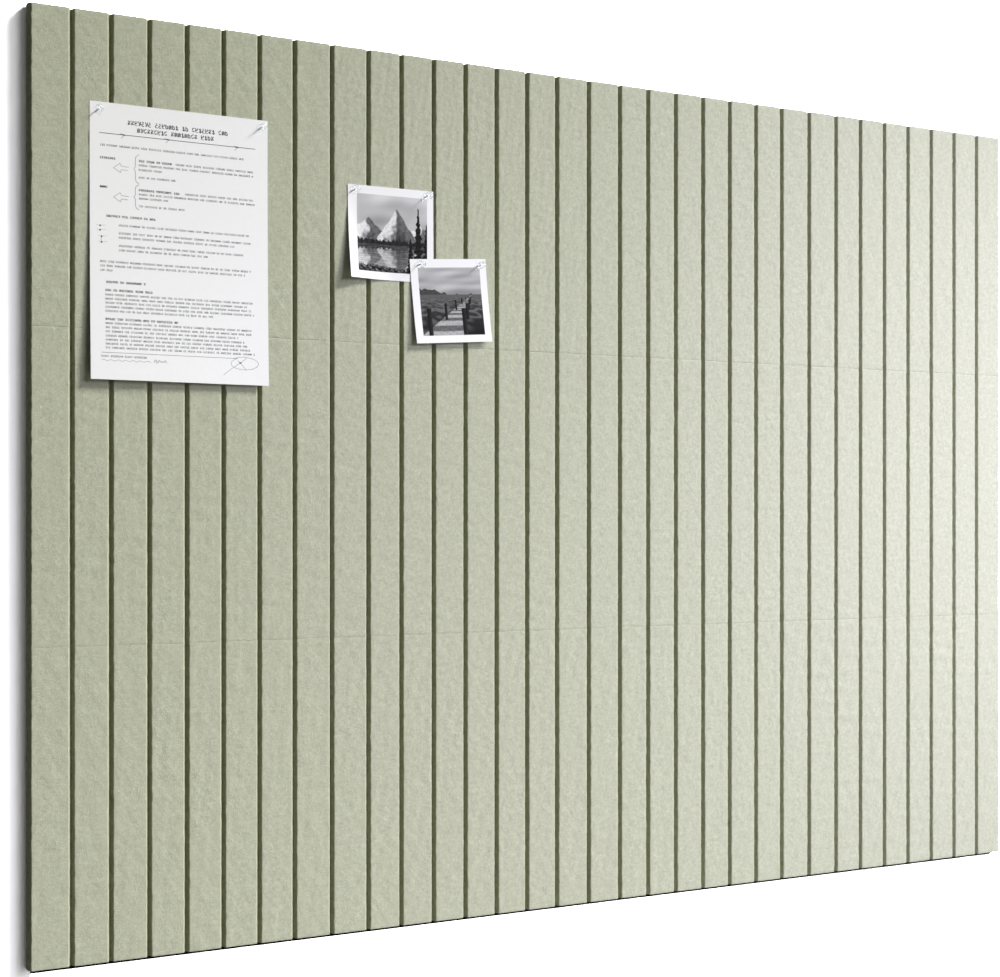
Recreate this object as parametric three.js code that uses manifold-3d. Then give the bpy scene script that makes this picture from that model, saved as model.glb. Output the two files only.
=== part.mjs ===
// Felt bulletin board: twelve grooved felt tiles taped to a wall, with a typed notice and two square
// prints pinned to it by clear push pins.
// Millimetres. The wall is the plane Y = 0 and the felt faces -Y, +X is right and +Z is up. The origin
// is the middle of the board on the wall.

import * as THREE from 'three';
import { mergeVertices } from 'three/addons/utils/BufferGeometryUtils.js';
import Module from 'manifold-3d';

const wasm = await Module();
wasm.setup();

// Board: square tiles butted together
const TILE_COLUMNS = 4;
const TILE_ROWS = ['top', 'middle', 'bottom'];
const TILE_PITCH = 300;
const TILE_JOINT_GAP = 0.3;
const FELT_THICKNESS = 12;

// V-grooves down each tile, with half a groove along its left and right edges
const GROOVES_PER_TILE = 7;
const GROOVE_PITCH = 36.75;
const GROOVE_WIDTH = 6;
const GROOVE_DEPTH = 5.2;
const SHOULDER_RADIUS = 1.2;
const SHOULDER_FACETS = 3;

// Foam tape: one strip behind the top of each tile and one behind its bottom
const TAPE_THICKNESS = 1;
const TAPE_WIDTH = 20;
const TAPE_LENGTH = 240;
const TAPE_EDGE_DISTANCE = 15;

// Clearance under a sheet that lies on the felt, and under a pin head that holds it
const REST_CLEARANCE = 0.3;

// Typed notice. Its place is that of its top left corner, measured from the board's
const NOTICE_WIDTH = 175.5;
const NOTICE_HEIGHT = 263;
const NOTICE_THICKNESS = 0.15;
const NOTICE_FROM_LEFT = 57.5;
const NOTICE_FROM_TOP = 85.1;
const NOTICE_TILT_DEGREES = -0.07;
const NOTICE_LIFT = 6;
const NOTICE_CURL_DEGREES = 8;
const NOTICE_FLAT_SHARE = 0.12;

// Square prints. The lower one lies over a corner of the upper one
const PRINT_THICKNESS = 0.25;
const UPPER_PRINT_SIZE = 95.5;
const UPPER_PRINT_FROM_LEFT = 316.9;
const UPPER_PRINT_FROM_TOP = 139.4;
const UPPER_PRINT_TILT_DEGREES = 0.25;
const UPPER_PRINT_LIFT = 9;
const UPPER_PRINT_CURL_DEGREES = 60;
const UPPER_PRINT_FLAT_SHARE = 0.65;
const LOWER_PRINT_SIZE = 87.7;
const PRINT_OVERLAP_ACROSS = 27.1;
const PRINT_OVERLAP_DOWN = 23.7;
const LOWER_PRINT_TILT_DEGREES = 4.2;
const LOWER_PRINT_LIFT = 4.4;
const LOWER_PRINT_CURL_DEGREES = 5;
const LOWER_PRINT_FLAT_SHARE = 0.12;
const SHEET_FACETS = 12;

// Where each pin goes through its sheet, measured in from the sheet's edges
const NOTICE_LEFT_PIN_INSET = 7.2;
const NOTICE_RIGHT_PIN_INSET = 8;
const NOTICE_PIN_DROP = 8.5;
const UPPER_PRINT_LEFT_PIN_INSET = 5.5;
const UPPER_PRINT_RIGHT_PIN_INSET = 9.1;
const UPPER_PRINT_PIN_DROP = 6.3;
const LOWER_PRINT_PIN_INSET = 9.2;
const LOWER_PRINT_LEFT_PIN_DROP = 6.3;
const LOWER_PRINT_RIGHT_PIN_DROP = 7.5;

// Push pin: a flange that lies on the sheet, a waisted stem and a wider grip
const HEAD_HEIGHT = 12;
const FLANGE_RADIUS = 4.6;
const FLANGE_THICKNESS = 1.5;
const STEM_RADIUS = 2.9;
const WAIST_RADIUS = 2.4;
const WAIST_HEIGHT = 5.6;
const GRIP_RADIUS = 3.8;
const GRIP_HEIGHT = 8.6;
const GRIP_EDGE_RADIUS = 0.6;
const GRIP_CROWN = 0.5;
const HEAD_FACETS = 20;
const HEAD_CURVE_FACETS = 3;
const NEEDLE_RADIUS = 0.55;
const NEEDLE_REACH = 10;
const NEEDLE_POINT_LENGTH = 2.4;
const NEEDLE_POINT_RADIUS = 0.06;
const NEEDLE_HELD_LENGTH = 7;
const NEEDLE_FACETS = 14;
const MOULDING_CLEARANCE = 0.05;
const PIERCING_CLEARANCE = 0.12;
const HOLE_END_CLEARANCE = 0.5;
const CUT_OVERRUN = 2;

const BOARD_WIDTH = TILE_COLUMNS * TILE_PITCH;
const BOARD_HEIGHT = TILE_ROWS.length * TILE_PITCH;
const FELT_BACK = -TAPE_THICKNESS;
const FELT_FRONT = FELT_BACK - FELT_THICKNESS;

const FELT = new THREE.MeshStandardMaterial({ color: 0xc3c5af, roughness: 0.95, metalness: 0 });
const FOAM_TAPE = new THREE.MeshStandardMaterial({ color: 0xe9e8e2, roughness: 0.8, metalness: 0 });
const PAPER = new THREE.MeshStandardMaterial({ color: 0xe9e9e8, roughness: 0.85, metalness: 0 });
const PRINT_PAPER = new THREE.MeshStandardMaterial({ color: 0xf6f6f4, roughness: 0.5, metalness: 0 });
const CLEAR_PLASTIC = new THREE.MeshStandardMaterial({
  color: 0xeef1f1,
  roughness: 0.12,
  metalness: 0,
  transparent: true,
  opacity: 0.35,
});
const NEEDLE_STEEL = new THREE.MeshStandardMaterial({ color: 0xb9bbbd, roughness: 0.3, metalness: 0.9 });

// Turns a closed geometry into a solid that can be cut
function toSolid(geometry) {
  const bare = geometry.clone();
  bare.deleteAttribute('normal');
  bare.deleteAttribute('uv');
  const merged = mergeVertices(bare);
  return new wasm.Manifold(new wasm.Mesh({
    numProp: 3,
    vertProperties: new Float32Array(merged.attributes.position.array),
    triVerts: new Uint32Array(merged.index.array),
  }));
}

// Turns a cut solid back into a geometry
function toGeometry(solid) {
  const mesh = solid.getMesh();
  const geometry = new THREE.BufferGeometry();
  geometry.setAttribute('position', new THREE.BufferAttribute(mesh.vertProperties, 3));
  geometry.setIndex(new THREE.BufferAttribute(mesh.triVerts, 1));
  geometry.computeVertexNormals();
  return geometry;
}

function namedMesh(name, geometry, material) {
  const mesh = new THREE.Mesh(geometry, material);
  mesh.name = name;
  return mesh;
}

// The felt's cross section, seen from above: X across the tile and Y from its back to its face. Half
// the joint gap is left off each side, and each V-groove runs in over a rounded shoulder
function feltSection() {
  const side = (TILE_PITCH - TILE_JOINT_GAP) / 2;
  const halfWidth = GROOVE_WIDTH / 2;
  const wallAngle = Math.atan2(GROOVE_DEPTH, halfWidth);
  const tangent = SHOULDER_RADIUS * Math.tan(wallAngle / 2);
  const fromFace = { x: halfWidth + tangent, y: FELT_FRONT };
  const ontoWall = {
    x: halfWidth - tangent * Math.cos(wallAngle),
    y: FELT_FRONT + tangent * Math.sin(wallAngle),
  };
  const sideDepth = GROOVE_DEPTH * (1 - TILE_JOINT_GAP / GROOVE_WIDTH);
  const section = new THREE.Shape();

  function overRightShoulder(centre) {
    section.lineTo(centre + ontoWall.x, ontoWall.y);
    section.quadraticCurveTo(centre + halfWidth, FELT_FRONT, centre + fromFace.x, fromFace.y);
  }

  function overLeftShoulder(centre) {
    section.lineTo(centre - fromFace.x, fromFace.y);
    section.quadraticCurveTo(centre - halfWidth, FELT_FRONT, centre - ontoWall.x, ontoWall.y);
  }

  section.moveTo(-side, FELT_BACK);
  section.lineTo(-side, FELT_FRONT + sideDepth);
  overRightShoulder(-TILE_PITCH / 2);
  for (let i = 0; i < GROOVES_PER_TILE; i += 1) {
    const centre = (i - (GROOVES_PER_TILE - 1) / 2) * GROOVE_PITCH;
    overLeftShoulder(centre);
    section.lineTo(centre, FELT_FRONT + GROOVE_DEPTH);
    overRightShoulder(centre);
  }
  overLeftShoulder(TILE_PITCH / 2);
  section.lineTo(side, FELT_FRONT + sideDepth);
  section.lineTo(side, FELT_BACK);
  section.closePath();
  return section;
}

// A felt tile about its own centre, with the grooves running up it
function feltTileGeometry() {
  const height = TILE_PITCH - TILE_JOINT_GAP;
  const geometry = new THREE.ExtrudeGeometry(feltSection(), {
    depth: height,
    bevelEnabled: false,
    curveSegments: SHOULDER_FACETS,
  });
  geometry.translate(0, 0, -height / 2);
  return geometry;
}

// How far a sheet stands out at a place on it. It lies flat for a share of its extent, then curls out
// more and more towards the edge or corner that hangs free, whose direction is turned from straight
// down towards the left
function curl(sheet, x, z) {
  const turn = THREE.MathUtils.degToRad(sheet.curlDegrees);
  const reach = (sheet.width * Math.sin(turn) + sheet.height * Math.cos(turn)) / 2;
  const along = -x * Math.sin(turn) - z * Math.cos(turn);
  const share = (along / reach + 1) / 2;
  const past = Math.max(0, (share - sheet.flatShare) / (1 - sheet.flatShare));
  return sheet.lift * past ** 2;
}

// A sheet about its own centre, its back at Y = 0 where it lies flat
function sheetGeometry(sheet) {
  const geometry = new THREE.BoxGeometry(
    sheet.width, sheet.thickness, sheet.height,
    SHEET_FACETS, 1, SHEET_FACETS,
  );
  geometry.translate(0, -sheet.thickness / 2, 0);
  const position = geometry.attributes.position;
  for (let i = 0; i < position.count; i += 1) {
    const out = curl(sheet, position.getX(i), position.getZ(i));
    position.setY(i, position.getY(i) - out);
  }
  return geometry;
}

// A clear pin head turned about Y, its flange face at Y = 0 and its grip towards -Y, with the blind
// hole that the needle is moulded into
function pinHeadGeometry() {
  const hole = NEEDLE_RADIUS + MOULDING_CLEARANCE;
  const holeEnd = NEEDLE_HELD_LENGTH + MOULDING_CLEARANCE;
  const bead = FLANGE_THICKNESS / 2;
  const gripTop = HEAD_HEIGHT - GRIP_CROWN;
  const gripEdge = GRIP_RADIUS - GRIP_EDGE_RADIUS;
  const profile = new THREE.Path();
  profile.moveTo(0, holeEnd);
  profile.lineTo(hole, holeEnd);
  profile.lineTo(hole, 0);
  profile.lineTo(FLANGE_RADIUS - bead, 0);
  profile.quadraticCurveTo(FLANGE_RADIUS, 0, FLANGE_RADIUS, bead);
  profile.quadraticCurveTo(FLANGE_RADIUS, FLANGE_THICKNESS, FLANGE_RADIUS - bead, FLANGE_THICKNESS);
  profile.lineTo(STEM_RADIUS, FLANGE_THICKNESS);
  profile.quadraticCurveTo(WAIST_RADIUS, FLANGE_THICKNESS, WAIST_RADIUS, WAIST_HEIGHT);
  profile.quadraticCurveTo(WAIST_RADIUS, GRIP_HEIGHT, GRIP_RADIUS, GRIP_HEIGHT);
  profile.lineTo(GRIP_RADIUS, gripTop - GRIP_EDGE_RADIUS);
  profile.quadraticCurveTo(GRIP_RADIUS, gripTop, gripEdge, gripTop);
  profile.quadraticCurveTo(gripEdge / 2, HEAD_HEIGHT, 0, HEAD_HEIGHT);
  const geometry = new THREE.LatheGeometry(profile.getPoints(HEAD_CURVE_FACETS), HEAD_FACETS);
  return geometry.rotateX(Math.PI);
}

// A needle turned about Y, its point towards +Y, from inside the head to its tip
function needleGeometry() {
  const shaftEnd = NEEDLE_REACH - NEEDLE_POINT_LENGTH;
  const profile = [
    new THREE.Vector2(0, -NEEDLE_HELD_LENGTH),
    new THREE.Vector2(NEEDLE_RADIUS, -NEEDLE_HELD_LENGTH),
    new THREE.Vector2(NEEDLE_RADIUS, shaftEnd),
    new THREE.Vector2(NEEDLE_POINT_RADIUS, NEEDLE_REACH),
    new THREE.Vector2(0, NEEDLE_REACH),
  ];
  return new THREE.LatheGeometry(profile, NEEDLE_FACETS);
}

// Where a sheet's top left corner and turn put its centre
function sheetPlacement(sheet) {
  const turn = new THREE.Matrix4().makeRotationY(-THREE.MathUtils.degToRad(sheet.tiltDegrees));
  const corner = new THREE.Matrix4().makeTranslation(
    sheet.fromLeft - BOARD_WIDTH / 2,
    sheet.back,
    BOARD_HEIGHT / 2 - sheet.fromTop,
  );
  const centre = new THREE.Matrix4().makeTranslation(sheet.width / 2, 0, -sheet.height / 2);
  return corner.multiply(turn).multiply(centre);
}

// Where a pin's flange meets its sheet, on the board
function pinPlace(sheet, pin) {
  const side = sheet.width / 2 - pin.inset;
  const local = new THREE.Vector3(
    pin.side === 'left' ? -side : side,
    -sheet.thickness - REST_CLEARANCE,
    sheet.height / 2 - pin.drop,
  );
  return local.applyMatrix4(sheetPlacement(sheet));
}

// The hole that a needle makes through the sheets and into the felt
function needleHole(place) {
  const start = FELT_FRONT - HEAD_HEIGHT - CUT_OVERRUN;
  const end = place.y + NEEDLE_REACH + HOLE_END_CLEARANCE;
  const radius = NEEDLE_RADIUS + PIERCING_CLEARANCE;
  const geometry = new THREE.CylinderGeometry(radius, radius, end - start, NEEDLE_FACETS);
  return geometry.translate(place.x, (start + end) / 2, place.z);
}

// Cuts every needle's hole from a piece that stands where its placement puts it
function pierce(geometry, placement, places) {
  const toPiece = placement.clone().invert();
  let solid = toSolid(geometry);
  for (const place of places) {
    solid = solid.subtract(toSolid(needleHole(place).applyMatrix4(toPiece)));
  }
  return toGeometry(solid);
}

function feltTiles(places) {
  const group = new THREE.Group();
  TILE_ROWS.forEach((row, rowIndex) => {
    for (let column = 0; column < TILE_COLUMNS; column += 1) {
      const placement = new THREE.Matrix4().makeTranslation(
        (column + 1 / 2) * TILE_PITCH - BOARD_WIDTH / 2,
        0,
        BOARD_HEIGHT / 2 - (rowIndex + 1 / 2) * TILE_PITCH,
      );
      const geometry = pierce(feltTileGeometry(), placement, places);
      const tile = namedMesh(`felt_tile_${row}_${column + 1}`, geometry, FELT);
      tile.position.setFromMatrixPosition(placement);
      group.add(tile);
    }
  });
  return group;
}

// Two strips behind each tile, face to face with the wall and with the felt
function foamTapes() {
  const group = new THREE.Group();
  const rise = TILE_PITCH / 2 - TAPE_EDGE_DISTANCE - TAPE_WIDTH / 2;
  TILE_ROWS.forEach((row, rowIndex) => {
    for (let column = 0; column < TILE_COLUMNS; column += 1) {
      for (const [end, side] of [['upper', 1], ['lower', -1]]) {
        const geometry = new THREE.BoxGeometry(TAPE_LENGTH, TAPE_THICKNESS, TAPE_WIDTH);
        const tape = namedMesh(`foam_tape_${row}_${column + 1}_${end}`, geometry, FOAM_TAPE);
        tape.position.set(
          (column + 1 / 2) * TILE_PITCH - BOARD_WIDTH / 2,
          -TAPE_THICKNESS / 2,
          BOARD_HEIGHT / 2 - (rowIndex + 1 / 2) * TILE_PITCH + side * rise,
        );
        group.add(tape);
      }
    }
  });
  return group;
}

function pinnedSheet(sheet, places) {
  const placement = sheetPlacement(sheet);
  const geometry = pierce(sheetGeometry(sheet), placement, places);
  const mesh = namedMesh(sheet.name, geometry, sheet.material);
  mesh.position.setFromMatrixPosition(placement);
  mesh.quaternion.setFromRotationMatrix(placement);
  return mesh;
}

function pushPin(name, place) {
  const pin = new THREE.Group();
  pin.position.copy(place);
  pin.add(namedMesh(`${name}_head`, pinHeadGeometry(), CLEAR_PLASTIC));
  pin.add(namedMesh(`${name}_needle`, needleGeometry(), NEEDLE_STEEL));
  return pin;
}

const onFelt = FELT_FRONT - REST_CLEARANCE;

const notice = {
  name: 'typed_notice',
  pinName: 'notice_pin',
  material: PAPER,
  width: NOTICE_WIDTH,
  height: NOTICE_HEIGHT,
  thickness: NOTICE_THICKNESS,
  fromLeft: NOTICE_FROM_LEFT,
  fromTop: NOTICE_FROM_TOP,
  tiltDegrees: NOTICE_TILT_DEGREES,
  back: onFelt,
  lift: NOTICE_LIFT,
  curlDegrees: NOTICE_CURL_DEGREES,
  flatShare: NOTICE_FLAT_SHARE,
  pins: [
    { side: 'left', inset: NOTICE_LEFT_PIN_INSET, drop: NOTICE_PIN_DROP },
    { side: 'right', inset: NOTICE_RIGHT_PIN_INSET, drop: NOTICE_PIN_DROP },
  ],
};

const upperPrint = {
  name: 'upper_print',
  pinName: 'upper_print_pin',
  material: PRINT_PAPER,
  width: UPPER_PRINT_SIZE,
  height: UPPER_PRINT_SIZE,
  thickness: PRINT_THICKNESS,
  fromLeft: UPPER_PRINT_FROM_LEFT,
  fromTop: UPPER_PRINT_FROM_TOP,
  tiltDegrees: UPPER_PRINT_TILT_DEGREES,
  back: onFelt,
  lift: UPPER_PRINT_LIFT,
  curlDegrees: UPPER_PRINT_CURL_DEGREES,
  flatShare: UPPER_PRINT_FLAT_SHARE,
  pins: [
    { side: 'left', inset: UPPER_PRINT_LEFT_PIN_INSET, drop: UPPER_PRINT_PIN_DROP },
    { side: 'right', inset: UPPER_PRINT_RIGHT_PIN_INSET, drop: UPPER_PRINT_PIN_DROP },
  ],
};

const lowerPrint = {
  name: 'lower_print',
  pinName: 'lower_print_pin',
  material: PRINT_PAPER,
  width: LOWER_PRINT_SIZE,
  height: LOWER_PRINT_SIZE,
  thickness: PRINT_THICKNESS,
  fromLeft: UPPER_PRINT_FROM_LEFT + UPPER_PRINT_SIZE - PRINT_OVERLAP_ACROSS,
  fromTop: UPPER_PRINT_FROM_TOP + UPPER_PRINT_SIZE - PRINT_OVERLAP_DOWN,
  tiltDegrees: LOWER_PRINT_TILT_DEGREES,
  back: onFelt - PRINT_THICKNESS - REST_CLEARANCE,
  lift: LOWER_PRINT_LIFT,
  curlDegrees: LOWER_PRINT_CURL_DEGREES,
  flatShare: LOWER_PRINT_FLAT_SHARE,
  pins: [
    { side: 'left', inset: LOWER_PRINT_PIN_INSET, drop: LOWER_PRINT_LEFT_PIN_DROP },
    { side: 'right', inset: LOWER_PRINT_PIN_INSET, drop: LOWER_PRINT_RIGHT_PIN_DROP },
  ],
};

const sheets = [notice, upperPrint, lowerPrint];
const pins = sheets.flatMap((sheet) => sheet.pins.map((pin) => ({
  name: `${sheet.pinName}_${pin.side}`,
  place: pinPlace(sheet, pin),
})));
const places = pins.map((pin) => pin.place);

const board = new THREE.Group();
board.add(feltTiles(places));
board.add(foamTapes());
for (const sheet of sheets) {
  board.add(pinnedSheet(sheet, places));
}
for (const pin of pins) {
  board.add(pushPin(pin.name, pin.place));
}

export default board;
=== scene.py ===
"""A felt bulletin board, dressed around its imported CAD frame.

Twelve grooved felt tiles are taped to a wall edge to edge. A typed notice and two square prints are
pinned to them with clear push pins. Sizes are in millimetres and become metres in the meshes. The
wall is the plane y = 0, the room is towards -y, +x is right and +z is up.
"""

import logging
import math
from abc import ABC, abstractmethod
from dataclasses import dataclass, field
from enum import Enum

import bpy
import numpy as np
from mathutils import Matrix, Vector


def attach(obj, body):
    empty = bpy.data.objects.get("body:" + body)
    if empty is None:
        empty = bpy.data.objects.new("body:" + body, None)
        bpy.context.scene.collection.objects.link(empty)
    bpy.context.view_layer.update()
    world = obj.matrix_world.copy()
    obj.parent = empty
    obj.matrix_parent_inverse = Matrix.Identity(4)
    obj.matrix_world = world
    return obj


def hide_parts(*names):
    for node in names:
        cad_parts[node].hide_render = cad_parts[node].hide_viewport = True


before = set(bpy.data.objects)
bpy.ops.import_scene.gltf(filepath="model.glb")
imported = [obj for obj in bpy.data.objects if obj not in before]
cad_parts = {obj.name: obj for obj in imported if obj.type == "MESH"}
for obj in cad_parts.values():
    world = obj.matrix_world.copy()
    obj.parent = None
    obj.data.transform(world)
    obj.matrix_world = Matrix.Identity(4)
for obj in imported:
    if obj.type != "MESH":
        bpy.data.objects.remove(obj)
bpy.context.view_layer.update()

MM = 0.001
# A sheet's distance from what it lies on, and a pin head's from its sheet
REST_CLEARANCE = 0.3
DISPLAY_GAMMA = 2.2
# A print's border takes in its picture's outermost points, up to this share of the picture's size
EDGE_SHARE = 1e-4
log = logging.getLogger("bulletin_board")


class Slot(Enum):
    """The record's material slots."""

    FELT = "felt"
    FOAM_TAPE = "foam_tape"
    NOTICE_PAPER = "notice_paper"
    PRINT_PAPER = "print_paper"
    CLEAR_PLASTIC = "clear_plastic"
    NEEDLE_STEEL = "needle_steel"


class Side(Enum):
    """The side of a sheet that a pin is on."""

    LEFT = "left"
    RIGHT = "right"


def linear(code: str) -> tuple[float, float, float, float]:
    """Turn an sRGB hex colour into linear light.

    Args:
        code: six hex digits after a hash sign.

    Returns:
        Red, green and blue in linear light, and an alpha of one.
    """
    channels = np.array([int(code[i : i + 2], 16) for i in (1, 3, 5)]) / 255
    light = np.where(channels <= 0.04045, channels / 12.92, ((channels + 0.055) / 1.055) ** 2.4)
    return (*light.tolist(), 1.0)


def add(
    owner: bpy.types.Material | bpy.types.World,
    kind: str,
    inputs: dict[str | int, object] | None = None,
    out: str | int = 0,
    **settings: object,
) -> bpy.types.NodeSocket | None:
    """Add a shader node with its settings and links.

    Args:
        owner: the material or world that gets the node.
        kind: the node type's name after "ShaderNode".
        inputs: what each input gets: a socket to link, a hex colour or a value to hold.
        out: the output that is handed back.
        settings: the node's own properties.

    Returns:
        The output, or None from a node that has no outputs.
    """
    tree = owner.node_tree
    node = tree.nodes.new("ShaderNode" + kind)
    for name, value in settings.items():
        setattr(node, name, value)
    for name, value in (inputs or {}).items():
        if isinstance(value, bpy.types.NodeSocket):
            tree.links.new(value, node.inputs[name])
        else:
            node.inputs[name].default_value = linear(value) if isinstance(value, str) else value
    return node.outputs[out] if node.outputs else None


def seen_rays(owner: bpy.types.Material | bpy.types.World, mirrored: float) -> bpy.types.NodeSocket:
    """Tell the rays that show the stage from the rays that it lights things with.

    Args:
        owner: the material or world that asks.
        mirrored: how much a reflected ray counts.

    Returns:
        1 on a camera ray or one through clear plastic, the mirrored share on a reflected one, else 0.
    """
    path = add(owner, "LightPath").node.outputs
    gloss = add(owner, "Math", {0: path["Is Glossy Ray"], 1: mirrored}, operation="MULTIPLY")
    seen = add(owner, "Math", {0: path["Is Camera Ray"], 1: gloss}, operation="MAXIMUM")
    return add(owner, "Math", {0: seen, 1: path["Is Transmission Ray"]}, operation="MAXIMUM")


def smoothstep(low: float, high: float, value: np.ndarray) -> np.ndarray:
    """Rise from 0 at low to 1 at high along 3t^2 - 2t^3, with t the clipped share between them."""
    share = np.clip((value - low) / (high - low), 0, 1)
    return share * share * (3 - 2 * share)


def ripple(
    across: np.ndarray, up: np.ndarray, lengths: tuple[float, float], seed: int, waves: int = 18
) -> np.ndarray:
    """Add up plane waves with seeded directions, wavelengths and phases.

    Each wave is the sine of the distance along its direction over its wavelength, in turns, plus its
    phase. The sum is divided by the root of half their number, so that its spread is about one.

    Args:
        across: first coordinate of each point.
        up: second coordinate of each point.
        lengths: shortest and longest wavelength, in the coordinates' unit.
        seed: seed of the random draws.
        waves: number of waves.

    Returns:
        The sum at each point.
    """
    random = np.random.default_rng(seed)
    heading = random.uniform(0, 2 * np.pi, waves)
    turns = 2 * np.pi / random.uniform(*lengths, waves)
    phase = random.uniform(0, 2 * np.pi, waves)
    run = across[..., None] * np.cos(heading) + up[..., None] * np.sin(heading)
    return np.sin(run * turns + phase).sum(-1) / math.sqrt(waves / 2)


def bend(start: tuple, towards: tuple, end: tuple, steps: int = 8) -> np.ndarray:
    """Follow a quadratic curve from start to end, drawn towards a third point."""
    t = np.linspace(0, 1, steps)[:, None]
    return (1 - t) ** 2 * np.array(start) + 2 * (1 - t) * t * np.array(towards) + t**2 * np.array(end)


def grid_quads(rows: int, columns: int) -> np.ndarray:
    """Number the quads of a grid whose points run along x within a row and rows run up z.

    Args:
        rows: number of point rows.
        columns: number of points in a row.

    Returns:
        Four point numbers a quad, counter-clockwise as seen from the room.
    """
    number = np.arange(rows * columns).reshape(rows, columns)
    quads = [number[:-1, :-1], number[:-1, 1:], number[1:, 1:], number[1:, :-1]]
    return np.stack(quads, -1).reshape(-1, 4)


def ring_quads(rings: int, count: int) -> tuple[np.ndarray, np.ndarray]:
    """Number the points of closed rings, and the quads that join each ring to the next.

    Args:
        rings: number of rings.
        count: number of points in a ring.

    Returns:
        The point numbers, a row for each ring, and the quads, a row for each pair of rings.
    """
    number = np.arange(rings * count).reshape(rings, count)
    after = np.roll(number, -1, axis=1)
    return number, np.stack([number[:-1], after[:-1], after[1:], number[1:]], -1)


def link(name: str, data: bpy.types.ID) -> bpy.types.Object:
    """Make an object and link it to the scene.

    Args:
        name: the object's name.
        data: its mesh, light or lens.

    Returns:
        The object.
    """
    made = bpy.data.objects.new(name, data)
    bpy.context.scene.collection.objects.link(made)
    return made


@dataclass
class Faces:
    """Faces with the same number of corners, as rows of point numbers."""

    corners: np.ndarray
    smooth: bool = False
    finish: int = 0


@dataclass
class Shell:
    """A surface worked out in millimetres."""

    points: np.ndarray
    faces: list[Faces]
    attributes: dict[str, np.ndarray] = field(default_factory=dict)

    def build(self, name: str, materials: list[bpy.types.Material]) -> bpy.types.Object:
        """Put the surface into a mesh object at the origin.

        Args:
            name: the object's name.
            materials: the finishes that the faces name by number.

        Returns:
            The object, linked to the scene.
        """
        counts = [len(part.corners) for part in self.faces]
        sizes = np.repeat([part.corners.shape[1] for part in self.faces], counts)
        smooth = np.repeat([part.smooth for part in self.faces], counts)
        finish = np.repeat([part.finish for part in self.faces], counts)
        corners = np.concatenate([part.corners.ravel() for part in self.faces])
        starts = np.cumsum(sizes) - sizes
        mesh = bpy.data.meshes.new(name)
        mesh.vertices.add(len(self.points))
        mesh.vertices.foreach_set("co", (self.points * MM).astype(np.float32).ravel())
        mesh.loops.add(len(corners))
        mesh.loops.foreach_set("vertex_index", corners.astype(np.int32))
        mesh.polygons.add(len(sizes))
        mesh.polygons.foreach_set("loop_start", starts.astype(np.int32))
        mesh.polygons.foreach_set("use_smooth", smooth)
        mesh.polygons.foreach_set("material_index", finish.astype(np.int32))
        for label, values in self.attributes.items():
            attribute = mesh.attributes.new(label, "FLOAT", "POINT")
            attribute.data.foreach_set("value", values.astype(np.float32).ravel())
        mesh.update(calc_edges=True)
        # Every edge of a flat face is sharp, so that the smooth face beside it keeps its own normals
        edges = np.empty(len(corners), np.int32)
        mesh.loops.foreach_get("edge_index", edges)
        sharp = np.zeros(len(mesh.edges), bool)
        sharp[edges[np.repeat(~smooth, sizes)]] = True
        mesh.edges.foreach_set("use_edge_sharp", sharp)
        mesh.validate()
        for material in materials:
            mesh.materials.append(material)
        return link(name, mesh)


def fit_piece(
    piece: bpy.types.Object, body: str, stands_for: tuple[str, ...] = ()
) -> None:
    """Tie a piece to its CAD body and hide the CAD nodes that it stands for.

    Args:
        piece: the finished object.
        body: the CAD body that carries it.
        stands_for: the CAD nodes that it replaces.
    """
    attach(piece, body)
    if stands_for:
        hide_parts(*stands_for)
    log.info("%s on %s: %d faces", piece.name, body, len(piece.data.polygons))


@dataclass(frozen=True)
class Finish:
    """What the finishes share. The relief is a bump's strength and its depth in millimetres."""

    name: str
    relief: tuple[float, float] = (0.0, 0.0)

    def blank(self) -> bpy.types.Material:
        """Start the material.

        Returns:
            The material, with no nodes.
        """
        material = bpy.data.materials.new(self.name)
        material.use_nodes = True
        material.node_tree.nodes.clear()
        return material

    def close(
        self,
        material: bpy.types.Material,
        shader: dict[str, object],
        height: bpy.types.NodeSocket | None = None,
    ) -> bpy.types.Material:
        """End a material with its bump, shader and output.

        Args:
            material: the material.
            shader: what the shader's inputs get.
            height: what the relief follows, if the finish has one.

        Returns:
            The material.
        """
        if height is not None:
            strength, depth = self.relief
            relief = {"Strength": strength, "Distance": depth * MM, "Height": height}
            shader = shader | {"Normal": add(material, "Bump", relief)}
        add(material, "OutputMaterial", {"Surface": add(material, "BsdfPrincipled", shader)})
        return material


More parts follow.
